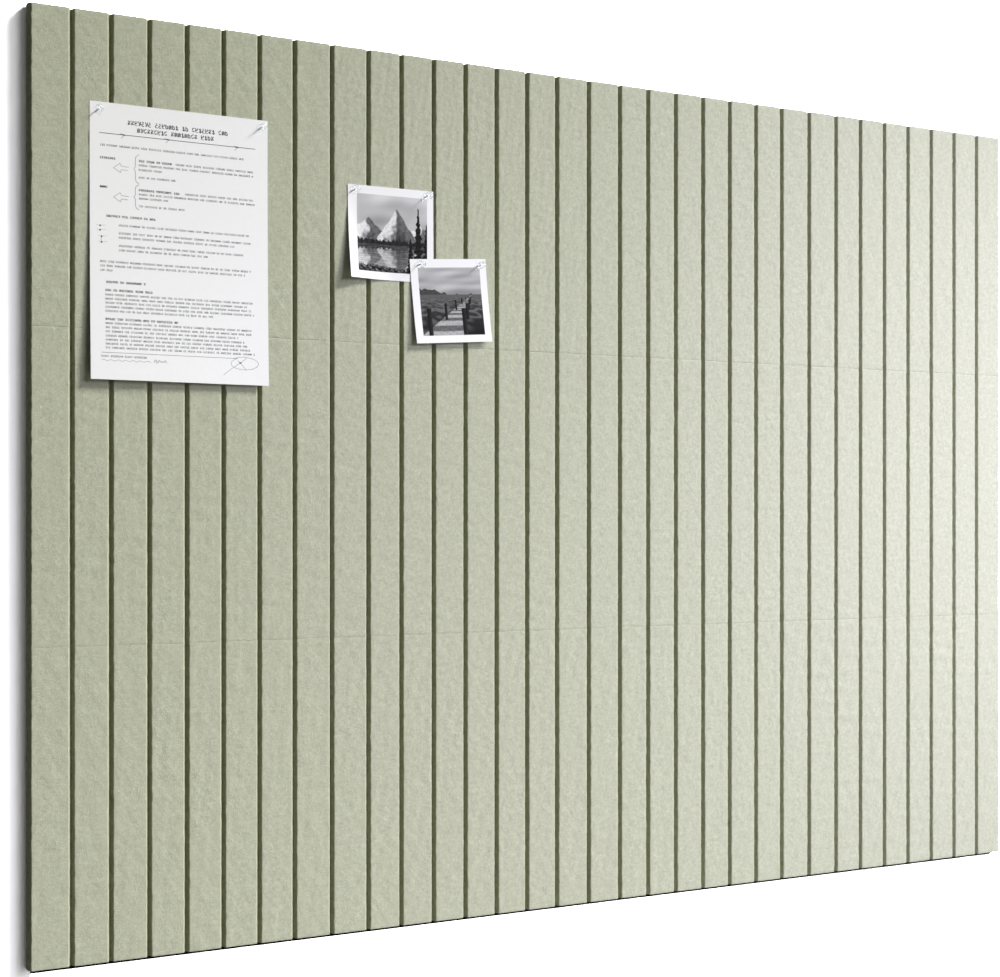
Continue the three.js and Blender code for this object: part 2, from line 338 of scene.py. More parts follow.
@dataclass(frozen=True)
class PressedFelt(Finish):
    """Needle-punched PET felt, heat pressed to a firm skin and grooved with a V cutter.

    Fibres of two tones give the eye a heather: soft specks of 2 to 4 mm, with paler and darker
    strands 6 mm long over them. Inside a groove the walls are painted in darker tones than the skin,
    as painted shade that deepens the shade in the groove.
    """

    name: str = "sage_pet_felt"
    relief: tuple[float, float] = (0.9, 0.35)
    face: str = "#AEB09A"
    shade: str = "#A2A58E"
    tint: str = "#BABDA7"
    strand: str = "#CDCFBD"
    groove_shade: str = "#AEB193"
    deep_groove_shade: str = "#909376"
    speck_size: float = 4.2
    cloud_size: float = 34.0
    strand_length: float = 6.0
    # Real strands are 0.03 mm thick: they are drawn 0.5 mm thick, so that they show
    strand_width: float = 0.5
    strand_turns: tuple[float, ...] = (12.0, 74.0, 131.0)
    strand_band: tuple[float, float] = (0.56, 0.72)
    strand_bend: float = 6.0
    bend_size: float = 9.0
    pale_share: float = 0.3
    dark_share: float = 0.45

    def material(self) -> bpy.types.Material:
        """Build the felt's nodes.

        Returns:
            The material. It reads the attribute "groove_shade": 1 inside a groove, where the walls get
            painted shade, and 0 on the skin.
        """
        felt = self.blank()
        place = add(felt, "TexCoord", out="Object")
        noise = {"Vector": place, "Scale": 1 / (self.bend_size * MM), "Detail": 1.0}
        reach = (self.strand_bend * MM,) * 3
        ways = {0: add(felt, "TexNoise", noise, "Color"), 1: reach, 2: place}
        bent = add(felt, "VectorMath", ways, operation="MULTIPLY_ADD")
        noise = {"Scale": 1 / (self.speck_size * MM), "Detail": 3.0, "Roughness": 0.62}
        speck = add(felt, "TexNoise", {"Vector": place} | noise)
        noise = {"Scale": 1 / (self.cloud_size * MM), "Detail": 2.0}
        cloud = add(felt, "TexNoise", {"Vector": place} | noise)
        size = np.array([self.strand_length, self.strand_width, self.strand_width]) * MM
        low, high = self.strand_band
        strands = []
        for turn in self.strand_turns:
            lie = {"Vector": bent, "Rotation": (0.0, math.radians(turn), 0.0), "Scale": size}
            turned = add(felt, "Mapping", lie, vector_type="TEXTURE")
            thread = add(felt, "TexNoise", {"Vector": turned, "Scale": 1.0, "Detail": 1.0})
            band = {"Value": thread, "From Min": low, "From Max": high}
            strands.append(add(felt, "MapRange", band, interpolation_type="SMOOTHSTEP"))
        pale = add(felt, "Math", {0: strands[0], 1: strands[1]}, operation="MAXIMUM")
        heather = add(felt, "MapRange", {"Value": speck, "From Min": 0.25, "From Max": 0.75})
        drift = {"Value": cloud, "From Min": 0.35, "From Max": 0.65, "To Max": 0.35}
        skin = self.shade
        layers = (
            (heather, self.tint),
            (add(felt, "MapRange", drift), self.face),
            (add(felt, "Math", {0: pale, 1: self.pale_share}, operation="MULTIPLY"), self.strand),
            (add(felt, "Math", {0: strands[2], 1: self.dark_share}, operation="MULTIPLY"), self.shade),
        )
        for share, tone in layers:
            skin = add(felt, "Mix", {0: share, 6: skin, 7: tone}, 2, data_type="RGBA")
        # Painted shade: the groove walls take darker tones than the skin, for the shade in the grooves
        groove_shade = add(felt, "Mix", {0: heather, 6: self.deep_groove_shade, 7: self.groove_shade}, 2, data_type="RGBA")
        inside = add(felt, "Attribute", out="Fac", attribute_name="groove_shade")
        colour = add(felt, "Mix", {0: inside, 6: skin, 7: groove_shade}, 2, data_type="RGBA")
        height = add(felt, "Math", {0: pale, 1: 0.5, 2: speck}, operation="MULTIPLY_ADD")
        sheen = {"Specular IOR Level": 0.08, "Sheen Weight": 0.06, "Sheen Roughness": 0.6}
        return self.close(felt, {"Base Color": colour, "Roughness": 0.95} | sheen, height)


@dataclass(frozen=True)
class AdhesiveFilm(Finish):
    """Acrylic adhesive film on both faces of the tape, rolled on and pressed against the wall.

    It looks off-white and slightly glossy, with cloudy patches where it has wetted out.
    """

    name: str = "acrylic_adhesive_film"
    relief: tuple[float, float] = (0.3, 0.1)
    film: str = "#E4E2D8"
    patch: str = "#CFCDC0"
    patch_size: float = 14.0

    def material(self) -> bpy.types.Material:
        """Build the film's nodes.

        Returns:
            The material.
        """
        film = self.blank()
        place = add(film, "TexCoord", out="Object")
        noise = {"Scale": 1 / (self.patch_size * MM), "Detail": 4.0, "Roughness": 0.6}
        cloud = add(film, "TexNoise", {"Vector": place} | noise)
        edge = {"Value": cloud, "From Min": 0.42, "From Max": 0.6}
        wetted = add(film, "MapRange", edge, interpolation_type="SMOOTHSTEP")
        colour = add(film, "Mix", {0: wetted, 6: self.film, 7: self.patch}, 2, data_type="RGBA")
        rough = add(film, "MapRange", {"Value": wetted, "To Min": 0.48, "To Max": 0.28})
        return self.close(film, {"Base Color": colour, "Roughness": rough}, cloud)


@dataclass(frozen=True)
class PolyethyleneFoam(Finish):
    """Closed-cell polyethylene foam, slit to width, seen on the tape's edges.

    The slit cells are 0.4 mm pits, painted darker than their pale rims as painted shade, so the
    edge looks matt and peppered.
    """

    name: str = "polyethylene_foam"
    relief: tuple[float, float] = (0.6, 0.15)
    rim: str = "#EFEDE5"
    pit_shade: str = "#B9B7AB"
    cell_size: float = 0.4

    def material(self) -> bpy.types.Material:
        """Build the foam's nodes.

        Returns:
            The material.
        """
        foam = self.blank()
        place = add(foam, "TexCoord", out="Object")
        cells = add(foam, "TexVoronoi", {"Vector": place, "Scale": 1 / (self.cell_size * MM)})
        # Painted shade: the pits take a darker tone than the rims, for the shade inside the cells
        colour = add(foam, "Mix", {0: cells, 6: self.pit_shade, 7: self.rim}, 2, data_type="RGBA")
        return self.close(foam, {"Base Color": colour, "Roughness": 0.85}, cells)


@dataclass(frozen=True)
class BondPaper(Finish):
    """Uncoated wood-free office paper, calendered.

    It is matt and very slightly cloudy where the fibres lie closer together.
    """

    name: str = "bond_paper"
    relief: tuple[float, float] = (0.25, 0.03)
    sheet: str = "#EAEAEA"
    cloud: str = "#E5E5E4"
    cloud_size: float = 5.0
    # Real fibres are 0.02 mm thick: they are drawn coarser, so that the surface isn't dead flat
    fibre_size: float = 0.35

    def material(self) -> bpy.types.Material:
        """Build the paper's nodes.

        Returns:
            The material.
        """
        paper = self.blank()
        place = add(paper, "TexCoord", out="Object")
        noise = {"Scale": 1 / (self.cloud_size * MM), "Detail": 4.0, "Roughness": 0.7}
        cloud = add(paper, "TexNoise", {"Vector": place} | noise)
        noise = {"Scale": 1 / (self.fibre_size * MM), "Detail": 2.0}
        fibre = add(paper, "TexNoise", {"Vector": place} | noise)
        colour = add(paper, "Mix", {0: cloud, 6: self.sheet, 7: self.cloud}, 2, data_type="RGBA")
        matt = {"Roughness": 0.82, "Specular IOR Level": 0.3}
        return self.close(paper, {"Base Color": colour} | matt, fibre)


@dataclass(frozen=True)
class LaidInk(Finish):
    """Ink that stands on paper: fused laser toner, or the line of a fine felt-tip pen.

    Its density varies along the stroke, so that it looks printed or drawn and not painted on.
    """

    name: str = "fused_toner"
    relief: tuple[float, float] = (0.3, 0.01)
    dense: str = "#161616"
    thin: str = "#303030"
    roughness: float = 0.6
    # Real toner grains are 0.01 mm: the density changes over a longer run here, so that it shows
    grain_size: float = 0.5

    def material(self) -> bpy.types.Material:
        """Build the ink's nodes.

        Returns:
            The material.
        """
        ink = self.blank()
        place = add(ink, "TexCoord", out="Object")
        noise = {"Scale": 1 / (self.grain_size * MM), "Detail": 2.0}
        grain = add(ink, "TexNoise", {"Vector": place} | noise)
        cover = add(ink, "MapRange", {"Value": grain, "From Min": 0.35, "From Max": 0.7})
        colour = add(ink, "Mix", {0: cover, 6: self.dense, 7: self.thin}, 2, data_type="RGBA")
        return self.close(ink, {"Base Color": colour, "Roughness": self.roughness}, grain)


@dataclass(frozen=True)
class PhotoPaper(Finish):
    """Resin-coated black and white photo paper with a pearl surface.

    The white border is the bare base, and the picture is silver grain on it. The attribute "tone"
    says how much of the white base shows through, and a fine grain breaks up the greys.
    """

    name: str = "pearl_photo_paper"
    relief: tuple[float, float] = (0.2, 0.02)
    silver: str = "#060606"
    base: str = "#E5E5E5"
    # Real grain clumps are 0.02 mm: they are drawn coarser, so that they show
    grain_size: float = 0.35

    def material(self) -> bpy.types.Material:
        """Build the photo paper's nodes.

        Returns:
            The material.
        """
        paper = self.blank()
        place = add(paper, "TexCoord", out="Object")
        tone = add(paper, "Attribute", out="Fac", attribute_name="tone")
        noise = {"Scale": 1 / (self.grain_size * MM), "Detail": 1.0}
        grain = add(paper, "TexNoise", {"Vector": place} | noise)
        spread = add(
            paper, "MapRange", {"Value": grain, "From Min": 0.3, "From Max": 0.7, "To Min": 0.86}
        )
        shown = add(paper, "Math", {0: tone, 1: spread}, operation="MULTIPLY")
        # Grain belongs to the silver only: where the base is bare, the tone stays as it is
        bare = add(paper, "MapRange", {"Value": tone, "From Min": 0.9, "From Max": 1.0})
        share = add(paper, "Mix", {0: bare, 2: shown, 3: tone})
        colour = add(paper, "Mix", {0: share, 6: self.silver, 7: self.base}, 2, data_type="RGBA")
        pearl = {"Roughness": 0.5, "Specular IOR Level": 0.03}
        return self.close(paper, {"Base Color": colour} | pearl, grain)


@dataclass(frozen=True)
class ClearPolystyrene(Finish):
    """Crystal polystyrene, injection moulded in a polished tool.

    It is glassy and bright at its rims, with faint flow ripples that make highlights swim. The
    plastic's own index of 1.59 is taken down to 1.24, at which a pin shows as faintly as a real one.
    """

    name: str = "clear_polystyrene"
    relief: tuple[float, float] = (0.15, 0.05)
    body: str = "#F6F8F8"
    flow: str = "#EDF1F2"
    flow_size: float = 3.0
    index: float = 1.24

    def material(self) -> bpy.types.Material:
        """Build the clear plastic's nodes.

        Returns:
            The material.
        """
        plastic = self.blank()
        place = add(plastic, "TexCoord", out="Object")
        noise = {"Scale": 1 / (self.flow_size * MM), "Detail": 2.0, "Distortion": 0.6}
        flow = add(plastic, "TexNoise", {"Vector": place} | noise)
        colour = add(plastic, "Mix", {0: flow, 6: self.body, 7: self.flow}, 2, data_type="RGBA")
        rough = add(plastic, "MapRange", {"Value": flow, "To Min": 0.12, "To Max": 0.22})
        glass = {"Roughness": rough, "IOR": self.index, "Transmission Weight": 1.0}
        return self.close(plastic, {"Base Color": colour} | glass, flow)


@dataclass(frozen=True)
class NeedleSteel(Finish):
    """Drawn and nickel-plated carbon steel wire, ground to a point.

    Drawing leaves fine lines along the needle, which stretch its highlights.
    """

    name: str = "plated_needle_steel"
    bright: str = "#C9CACB"
    dull: str = "#A9ABAD"
    # Real drawing lines are 0.01 mm wide: they are drawn coarser, so that they show
    line_width: float = 0.06
    line_length: float = 4.0

    def material(self) -> bpy.types.Material:
        """Build the steel's nodes.

        Returns:
            The material.
        """
        steel = self.blank()
        place = add(steel, "TexCoord", out="Object")
        size = np.array([self.line_width, self.line_length, self.line_width]) * MM
        stretched = add(steel, "Mapping", {"Vector": place, "Scale": size}, vector_type="TEXTURE")
        lines = add(steel, "TexNoise", {"Vector": stretched, "Scale": 1.0, "Detail": 2.0})
        colour = add(steel, "Mix", {0: lines, 6: self.bright, 7: self.dull}, 2, data_type="RGBA")
        rough = add(steel, "MapRange", {"Value": lines, "To Min": 0.4, "To Max": 0.58})
        return self.close(steel, {"Base Color": colour, "Roughness": rough, "Metallic": 1.0})


@dataclass(frozen=True)
class StagePaint(Finish):
    """Matt white paint on the stage, one-sided, so that the board is seen from behind as well.

    Camera rays see it whiter than the light that it gives back, which keeps both the white
    background and the depth of the board's shadow.
    """

    seen: float = 1.0
    given_back: float = 0.3

    def material(self) -> bpy.types.Material:
        """Build the paint's nodes.

        Returns:
            The material.
        """
        paint = self.blank()
        greys = {6: (*[self.given_back] * 3, 1.0), 7: (*[self.seen] * 3, 1.0)}
        shown = {0: seen_rays(paint, 1.0)} | greys
        colour = add(paint, "Mix", shown, 2, data_type="RGBA", clamp_factor=True)
        rear = add(paint, "NewGeometry", out="Backfacing")
        camera = add(paint, "LightPath", out="Is Camera Ray")
        behind = add(paint, "Math", {0: rear, 1: camera}, operation="MULTIPLY")
        coats = {1: add(paint, "BsdfDiffuse", {"Color": colour}), 2: add(paint, "BsdfTransparent")}
        add(paint, "OutputMaterial", {"Surface": add(paint, "MixShader", {0: behind} | coats)})
        return paint


@dataclass(frozen=True)
class BoardPlan:
    """How the tiles and their tape stand on the wall."""

    pitch: float = 300.0
    columns: int = 4
    rows: tuple[str, ...] = ("top", "middle", "bottom")
    joint_gap: float = 0.3
    tape_thickness: float = 1.0
    felt_thickness: float = 12.0

    @property
    def left(self) -> float:
        """The board's left edge on the x axis."""
        return -self.columns * self.pitch / 2

    @property
    def top(self) -> float:
        """The board's top edge on the z axis."""
        return len(self.rows) * self.pitch / 2

    @property
    def felt_front(self) -> float:
        """The y of the felt's face."""
        return -self.tape_thickness - self.felt_thickness

    def tiles(self) -> list[tuple[str, int, float, float]]:
        """List the tiles row by row from the top left.

        Returns:
            Each tile's place in words, its number, and its centre's x and z.
        """
        return [
            (
                f"{word}_{column + 1}",
                row * self.columns + column,
                self.left + (column + 0.5) * self.pitch,
                self.top - (row + 0.5) * self.pitch,
            )
            for row, word in enumerate(self.rows)
            for column in range(self.columns)
        ]


@dataclass
class FeltTiles:
    """Twelve felt tiles, each with seven V-grooves and half a groove along both sides."""

    plan: BoardPlan
    grooves: int = 7
    groove_pitch: float = 36.75
    groove_width: float = 5.4
    groove_depth: float = 5.2
    shoulder_radius: float = 1.15
    edge_radius: float = 0.12
    seam_gap: float = 0.1
    # Depths below the skin over which the groove walls' painted shade fades in
    groove_shade_depths: tuple[float, float] = (0.3, 0.9)
    row_step: float = 2.6
    swell: float = 0.1
    swell_lengths: tuple[float, float] = (7.0, 26.0)
    waver: float = 0.16
    waver_lengths: tuple[float, float] = (4.0, 16.0)
    waver_reach: float = 1.1
    wave_seed: int = 100
    swell_seed: int = 150

    def half_groove(self) -> tuple[np.ndarray, np.ndarray]:
        """Work out a groove from its bottom out to the skin.

        The wall is a straight line from the bottom. A quadratic curve then bends over the shoulder,
        from where a circle of the shoulder's radius would touch the wall to where it touches the
        skin, drawn towards the sharp corner between them.

        Returns:
            Distances from the groove's centre line, and the depths below the skin there.
        """
        half = self.groove_width / 2
        slope = math.atan2(self.groove_depth, half)
        reach = self.shoulder_radius * math.tan(slope / 2)
        start = (half - reach * math.cos(slope), reach * math.sin(slope))
        wall = np.linspace(0, start[0], 8)
        over = bend(start, (half, 0.0), (half + reach, 0.0), 7)[1:]
        depth = self.groove_depth * (1 - wall / half)
        return np.concatenate([wall, over[:, 0]]), np.concatenate([depth, over[:, 1]])

    def section(self) -> tuple[np.ndarray, np.ndarray, np.ndarray]:
        """Work out a tile's face from side to side.

        Returns:
            x about the tile's centre, depth below the skin, and distance to the nearest groove.
        """
        distance, depth = self.half_groove()
        centres = (np.arange(self.grooves) - (self.grooves - 1) / 2) * self.groove_pitch
        joint = self.plan.pitch / 2
        centres = np.concatenate([[-joint], centres, [joint]])
        x, down, away = [], [], []
        for left, right in zip(centres[:-1], centres[1:]):
            flat = np.linspace(left + distance[-1], right - distance[-1], 16)[1:-1]
            x += [left + distance, flat, right - distance[::-1]]
            down += [depth, np.zeros_like(flat), depth[::-1]]
            away += [distance, np.minimum(flat - left, right - flat), distance[::-1]]
        x, down, away = (np.concatenate(part) for part in (x, down, away))
        # Each groove's bottom point is met from both sides: one is kept
        keep = np.concatenate([[True], np.diff(x) > 1e-6])
        x, down, away = x[keep], down[keep], away[keep]
        side = joint - self.plan.joint_gap / 2
        side_depth = self.groove_depth * (1 - self.plan.joint_gap / self.groove_width)
        x[[0, -1]], down[[0, -1]] = (-side, side), side_depth
        return x, down, away

    def levels(self) -> tuple[np.ndarray, np.ndarray]:
        """Work out the rows of points up a tile.

        Returns:
            z about the tile's centre, and how far a quarter circle at each end sets the skin back.
        """
        half = (self.plan.pitch - self.seam_gap) / 2
        turn = np.radians([0, 30, 60])
        end = self.edge_radius * (1 - np.cos(turn))
        back = self.edge_radius * (1 - np.sin(turn))
        inner = half - self.edge_radius
        middle = np.linspace(-inner, inner, round(2 * inner / self.row_step))
        z = np.concatenate([-half + end, middle, half - end[::-1]])
        return z, np.concatenate([back, np.zeros_like(middle), back[::-1]])

    def shell(self, number: int, centre_x: float, centre_z: float) -> Shell:
        """Work out one tile as a closed surface.

        The face is the section swept up the tile. The skin swells in and out and the groove
        shoulders waver sideways by seeded sums of waves. Its first and last rows are joined straight
        to the flat back, and its sides are flat.

        Args:
            number: the tile's number, which sets its seeds.
            centre_x: x of the tile's centre.
            centre_z: z of the tile's centre.

        Returns:
            The tile's surface, with its attribute "groove_shade", the share of painted shade on the
            groove walls.
        """
        x, down, away = self.section()
        z, back = self.levels()
        across, up = np.meshgrid(x, z)
        shoulder = np.exp(-(((away - self.groove_width / 2) / self.waver_reach) ** 2))
        shoulder[[0, -1]] = 0
        waver = ripple(across, up, self.waver_lengths, self.wave_seed + number)
        swell = self.swell * ripple(across, up, self.swell_lengths, self.swell_seed + number)
        swell[:, [0, -1]] = 0
        y = self.plan.felt_front + down + back[:, None] - swell
        face = np.stack([across + self.waver * waver * shoulder + centre_x, y, up + centre_z], -1)
        rear = face[[0, -1]].copy()
        rear[..., 1] = -self.plan.tape_thickness
        rows, columns = across.shape
        front = np.arange(rows * columns).reshape(rows, columns)
        low, high = rows * columns + np.arange(2 * columns).reshape(2, columns)
        bottom = np.stack([low[:-1], low[1:], front[0, 1:], front[0, :-1]], -1)
        top = np.stack([front[-1, :-1], front[-1, 1:], high[1:], high[:-1]], -1)
        flat = np.stack([low[1:], low[:-1], high[:-1], high[1:]], -1)
        left = np.concatenate([front[:, 0], [high[0], low[0]]])[None]
        right = np.concatenate([front[::-1, -1], [low[-1], high[-1]]])[None]
        # Painted shade on the groove walls, growing with depth below the skin
        groove_shade = np.broadcast_to(smoothstep(*self.groove_shade_depths, down), across.shape)
        return Shell(
            np.concatenate([face.reshape(-1, 3), rear.reshape(-1, 3)]),
            [
                Faces(grid_quads(rows, columns), smooth=True),
                Faces(np.concatenate([bottom, top, flat])),
                Faces(left),
                Faces(right),
            ],
            {"groove_shade": np.concatenate([groove_shade.ravel(), np.zeros(2 * columns)])},
        )

    def dress(self) -> None:
        """Build every tile and give it its felt."""
        felt = PressedFelt().material()
        for place, number, x, z in self.plan.tiles():
            tile = self.shell(number, x, z).build(f"grooved_felt_{place}", [felt])
            fit_piece(tile, "board", (f"felt_tile_{place}",))


@dataclass
class FoamTapes:
    """Two strips of double-sided foam tape behind each tile."""

    plan: BoardPlan
    width: float = 20.0
    length: float = 240.0
    edge_distance: float = 15.0
    film: float = 0.1
    pinch: float = 0.35
    waver: float = 0.12
    waver_lengths: tuple[float, float] = (3.0, 30.0)
    end_lengths: tuple[float, float] = (2.0, 12.0)
    end_share: float = 0.6
    # How far the waves change through the tape's thickness, so that its two faces differ
    depth_stretch: float = 9.0
    face_points: int = 5
    foam_levels: tuple[float, ...] = (0.25, 0.5, 0.75)
    stations: int = 49
    wave_seed: int = 300

    def shell(self, centre_x: float, centre_z: float, seed: int) -> Shell:
        """Work out one strip as a closed surface.

        A loop runs round the strip's cross section: up one adhesive face, through the edge, down the
        other face and back through the other edge. Between the films the foam's edge is pinched in
        along a parabola. The loop is carried along x while a seeded sum of waves moves the edges.

        Args:
            centre_x: x of the strip's centre.
            centre_z: z of the strip's centre.
            seed: seed of the edges' waves.

        Returns:
            The strip's surface, with the films as finish 0 and the foam as finish 1.
        """
        half = self.width / 2
        rise = np.linspace(-half, half, self.face_points)
        depth = np.array([0, self.film, *self.foam_levels, 1 - self.film, 1])
        inset = self.pinch * np.maximum(0, 1 - ((depth - 0.5) / (0.5 - self.film)) ** 2)
        loop_y = np.concatenate([0 * rise, depth[1:-1], 0 * rise + 1, depth[-2:0:-1]])
        loop_z = np.concatenate([rise, half - inset[1:-1], -rise, -half + inset[-2:0:-1]])
        edge = np.abs(loop_z) > half - self.pinch - self.film
        x = np.linspace(-self.length / 2, self.length / 2, self.stations)
        along, around = np.meshgrid(x, loop_z, indexing="ij")
        depths = np.broadcast_to(-self.plan.tape_thickness * loop_y, along.shape)
        stretched = around + self.depth_stretch * depths
        moved = self.waver * ripple(along, stretched, self.waver_lengths, seed)
        z = around + np.where(edge, moved, 0) * np.sign(around)
        ends = np.zeros_like(along)
        ragged = ripple(around[[0, -1]], depths[[0, -1]], self.end_lengths, seed)
        ends[[0, -1]] = self.end_share * self.waver * ragged
        points = np.stack([along + ends + centre_x, depths, z + centre_z], -1)
        number, quads = ring_quads(self.stations, len(loop_z))
        # A quad is on a film where both of its sides are at one depth
        on_face = loop_y == np.roll(loop_y, -1)
        return Shell(
            points.reshape(-1, 3),
            [
                Faces(quads[:, on_face].reshape(-1, 4)),
                Faces(quads[:, ~on_face].reshape(-1, 4), smooth=True, finish=1),
                Faces(number[:1, ::-1], finish=1),
                Faces(number[-1:], finish=1),
            ],
        )

    def dress(self) -> None:
        """Build every strip with its film and foam."""
        finishes = [AdhesiveFilm().material(), PolyethyleneFoam().material()]
        rise = self.plan.pitch / 2 - self.edge_distance - self.width / 2
        for tile, number, x, z in self.plan.tiles():
            for turn, (end, way) in enumerate((("upper", 1), ("lower", -1))):
                strip = self.shell(x, z + way * rise, self.wave_seed + number * 2 + turn)
                tape = strip.build(f"tape_strip_{tile}_{end}", finishes)
                fit_piece(tape, "board", (f"foam_tape_{tile}_{end}",))


@dataclass(frozen=True)
class PinHole:
    """Where a pin goes through its sheet, measured in from a side edge and down from the top."""

    side: Side
    inset: float
    drop: float


@dataclass
class PinnedSheet:
    """A sheet held by two pins near its top, curling off the felt towards its free end."""

    plan: BoardPlan
    body: str
    width: float
    height: float
    thickness: float
    from_left: float
    from_top: float
    tilt: float
    back: float
    lift: float
    curl_turn: float
    flat_share: float
    pins: tuple[PinHole, ...]
    seed: int
    hole_radius: float = 0.67
    undulation: float = 0.25
    columns: int = 37
    rows: int = 49

    def pin_place(self, pin: PinHole) -> tuple[float, float]:
        """Give a pin's x and z on the sheet, from the sheet's centre."""
        x = self.width / 2 - pin.inset
        return (-x if pin.side is Side.LEFT else x), self.height / 2 - pin.drop

    def curl(self, x: np.ndarray, z: np.ndarray) -> np.ndarray:
        """Work out how far the sheet stands off where it would lie flat.

        The distance along the curl's direction, which is turned from straight down towards the left,
        is taken as a share of the sheet's reach. Past the flat share it grows with its square up to
        the lift at the free end, and a seeded sum of long waves is added in the same proportion.

        Args:
            x: distances right of the sheet's centre.
            z: distances above the sheet's centre.

        Returns:
            The distances towards the room.
        """
        turn = math.radians(self.curl_turn)
        reach = (self.width * math.sin(turn) + self.height * math.cos(turn)) / 2
        share = ((-x * math.sin(turn) - z * math.cos(turn)) / reach + 1) / 2
        past = np.maximum(0, (share - self.flat_share) / (1 - self.flat_share))
        wave = 1 + ripple(x, z, (self.width * 0.6, self.width * 1.4), self.seed) / 2
        return self.lift * past**2 + self.undulation * wave * np.minimum(1, 2 * past) * past

    def on_board(self, x: np.ndarray, z: np.ndarray, out: float) -> np.ndarray:
        """Carry points of the flat sheet to their places on the board.

        They are turned by the tilt about the sheet's top left corner, which is set down at its place
        on the board, and moved towards the room by the curl.

        Args:
            x: distances right of the sheet's centre.
            z: distances above the sheet's centre.
            out: distance from the sheet's back towards the room.

        Returns:
            The places, as an array with x, y and z last.
        """
        cos, sin = math.cos(math.radians(self.tilt)), math.sin(math.radians(self.tilt))
        right, up = x + self.width / 2, z - self.height / 2
        board_x = self.plan.left + self.from_left + right * cos - up * sin
        board_z = self.plan.top - self.from_top + right * sin + up * cos
        return np.stack([board_x, self.back - out - self.curl(x, z), board_z], -1)

    def lines(self) -> tuple[np.ndarray, np.ndarray]:
        """Give the sheet's grid lines, as x and z from its centre."""
        x, z = self.width / 2, self.height / 2
        return np.linspace(-x, x, self.columns), np.linspace(-z, z, self.rows)

    def attributes(self, x: np.ndarray, z: np.ndarray) -> dict[str, np.ndarray]:
        """Give what the finish reads at each point of the face."""
        return {}

    def shell(self) -> Shell:
        """Work out the sheet as a closed slab with its two pin holes.

        The face is a grid with extra lines round each pin. Points on the square round a pin move in
        to a circle, and the cells inside it are left out. The back is the same grid one thickness
        behind, and every open edge of the face is joined to the back's.

        Returns:
            The sheet's surface.
        """
        x_lines, z_lines = self.lines()
        r = self.hole_radius
        holes = np.array([self.pin_place(pin) for pin in self.pins])
        ring = np.array([-r, 0.0, r])
        x_lines = np.unique(np.round(np.concatenate([x_lines, (holes[:, :1] + ring).ravel()]), 4))
        z_lines = np.unique(np.round(np.concatenate([z_lines, (holes[:, 1:] + ring).ravel()]), 4))
        x, z = (part.ravel() for part in np.meshgrid(x_lines, z_lines))
        quads = grid_quads(len(z_lines), len(x_lines))
        middle_x, middle_z = x[quads].mean(1), z[quads].mean(1)
        for hole_x, hole_z in holes:
            inside = np.maximum(np.abs(middle_x - hole_x), np.abs(middle_z - hole_z)) < r
            quads, middle_x, middle_z = quads[~inside], middle_x[~inside], middle_z[~inside]
            square = np.maximum(np.abs(x - hole_x), np.abs(z - hole_z))
            # The lines are rounded to four decimals, so a point on the square is this close to it
            on_ring = np.abs(square - r) < 2e-4
            length = np.hypot(x - hole_x, z - hole_z)
            pull = np.where(on_ring, r / np.maximum(length, r / 2), 1)
            x, z = hole_x + (x - hole_x) * pull, hole_z + (z - hole_z) * pull
        used, quads = np.unique(quads, return_inverse=True)
        x, z, quads = x[used], z[used], quads.reshape(-1, 4)
        count = len(used)
        start, end = quads.ravel(), np.roll(quads, -1, axis=1).ravel()
        open_edge = ~np.isin(start * count + end, end * count + start)
        start, end = start[open_edge], end[open_edge]
        rim = np.stack([end, start, start + count, end + count], -1)
        read = self.attributes(x, z)
        return Shell(
            np.concatenate([self.on_board(x, z, self.thickness), self.on_board(x, z, 0.0)]),
            [Faces(quads, smooth=True), Faces(quads[:, ::-1] + count, smooth=True), Faces(rim)],
            {name: np.concatenate([values, np.ones(count)]) for name, values in read.items()},
        )


class TypeStyle(Enum):
    """How the notice's lines are set: height of a mark, its advance and its stroke."""

    TITLE = (4.1, 3.3, 0.82)
    HEADING = (2.1, 1.9, 0.54)
    BODY = (1.75, 1.5, 0.33)


TITLE, HEADING, BODY = TypeStyle


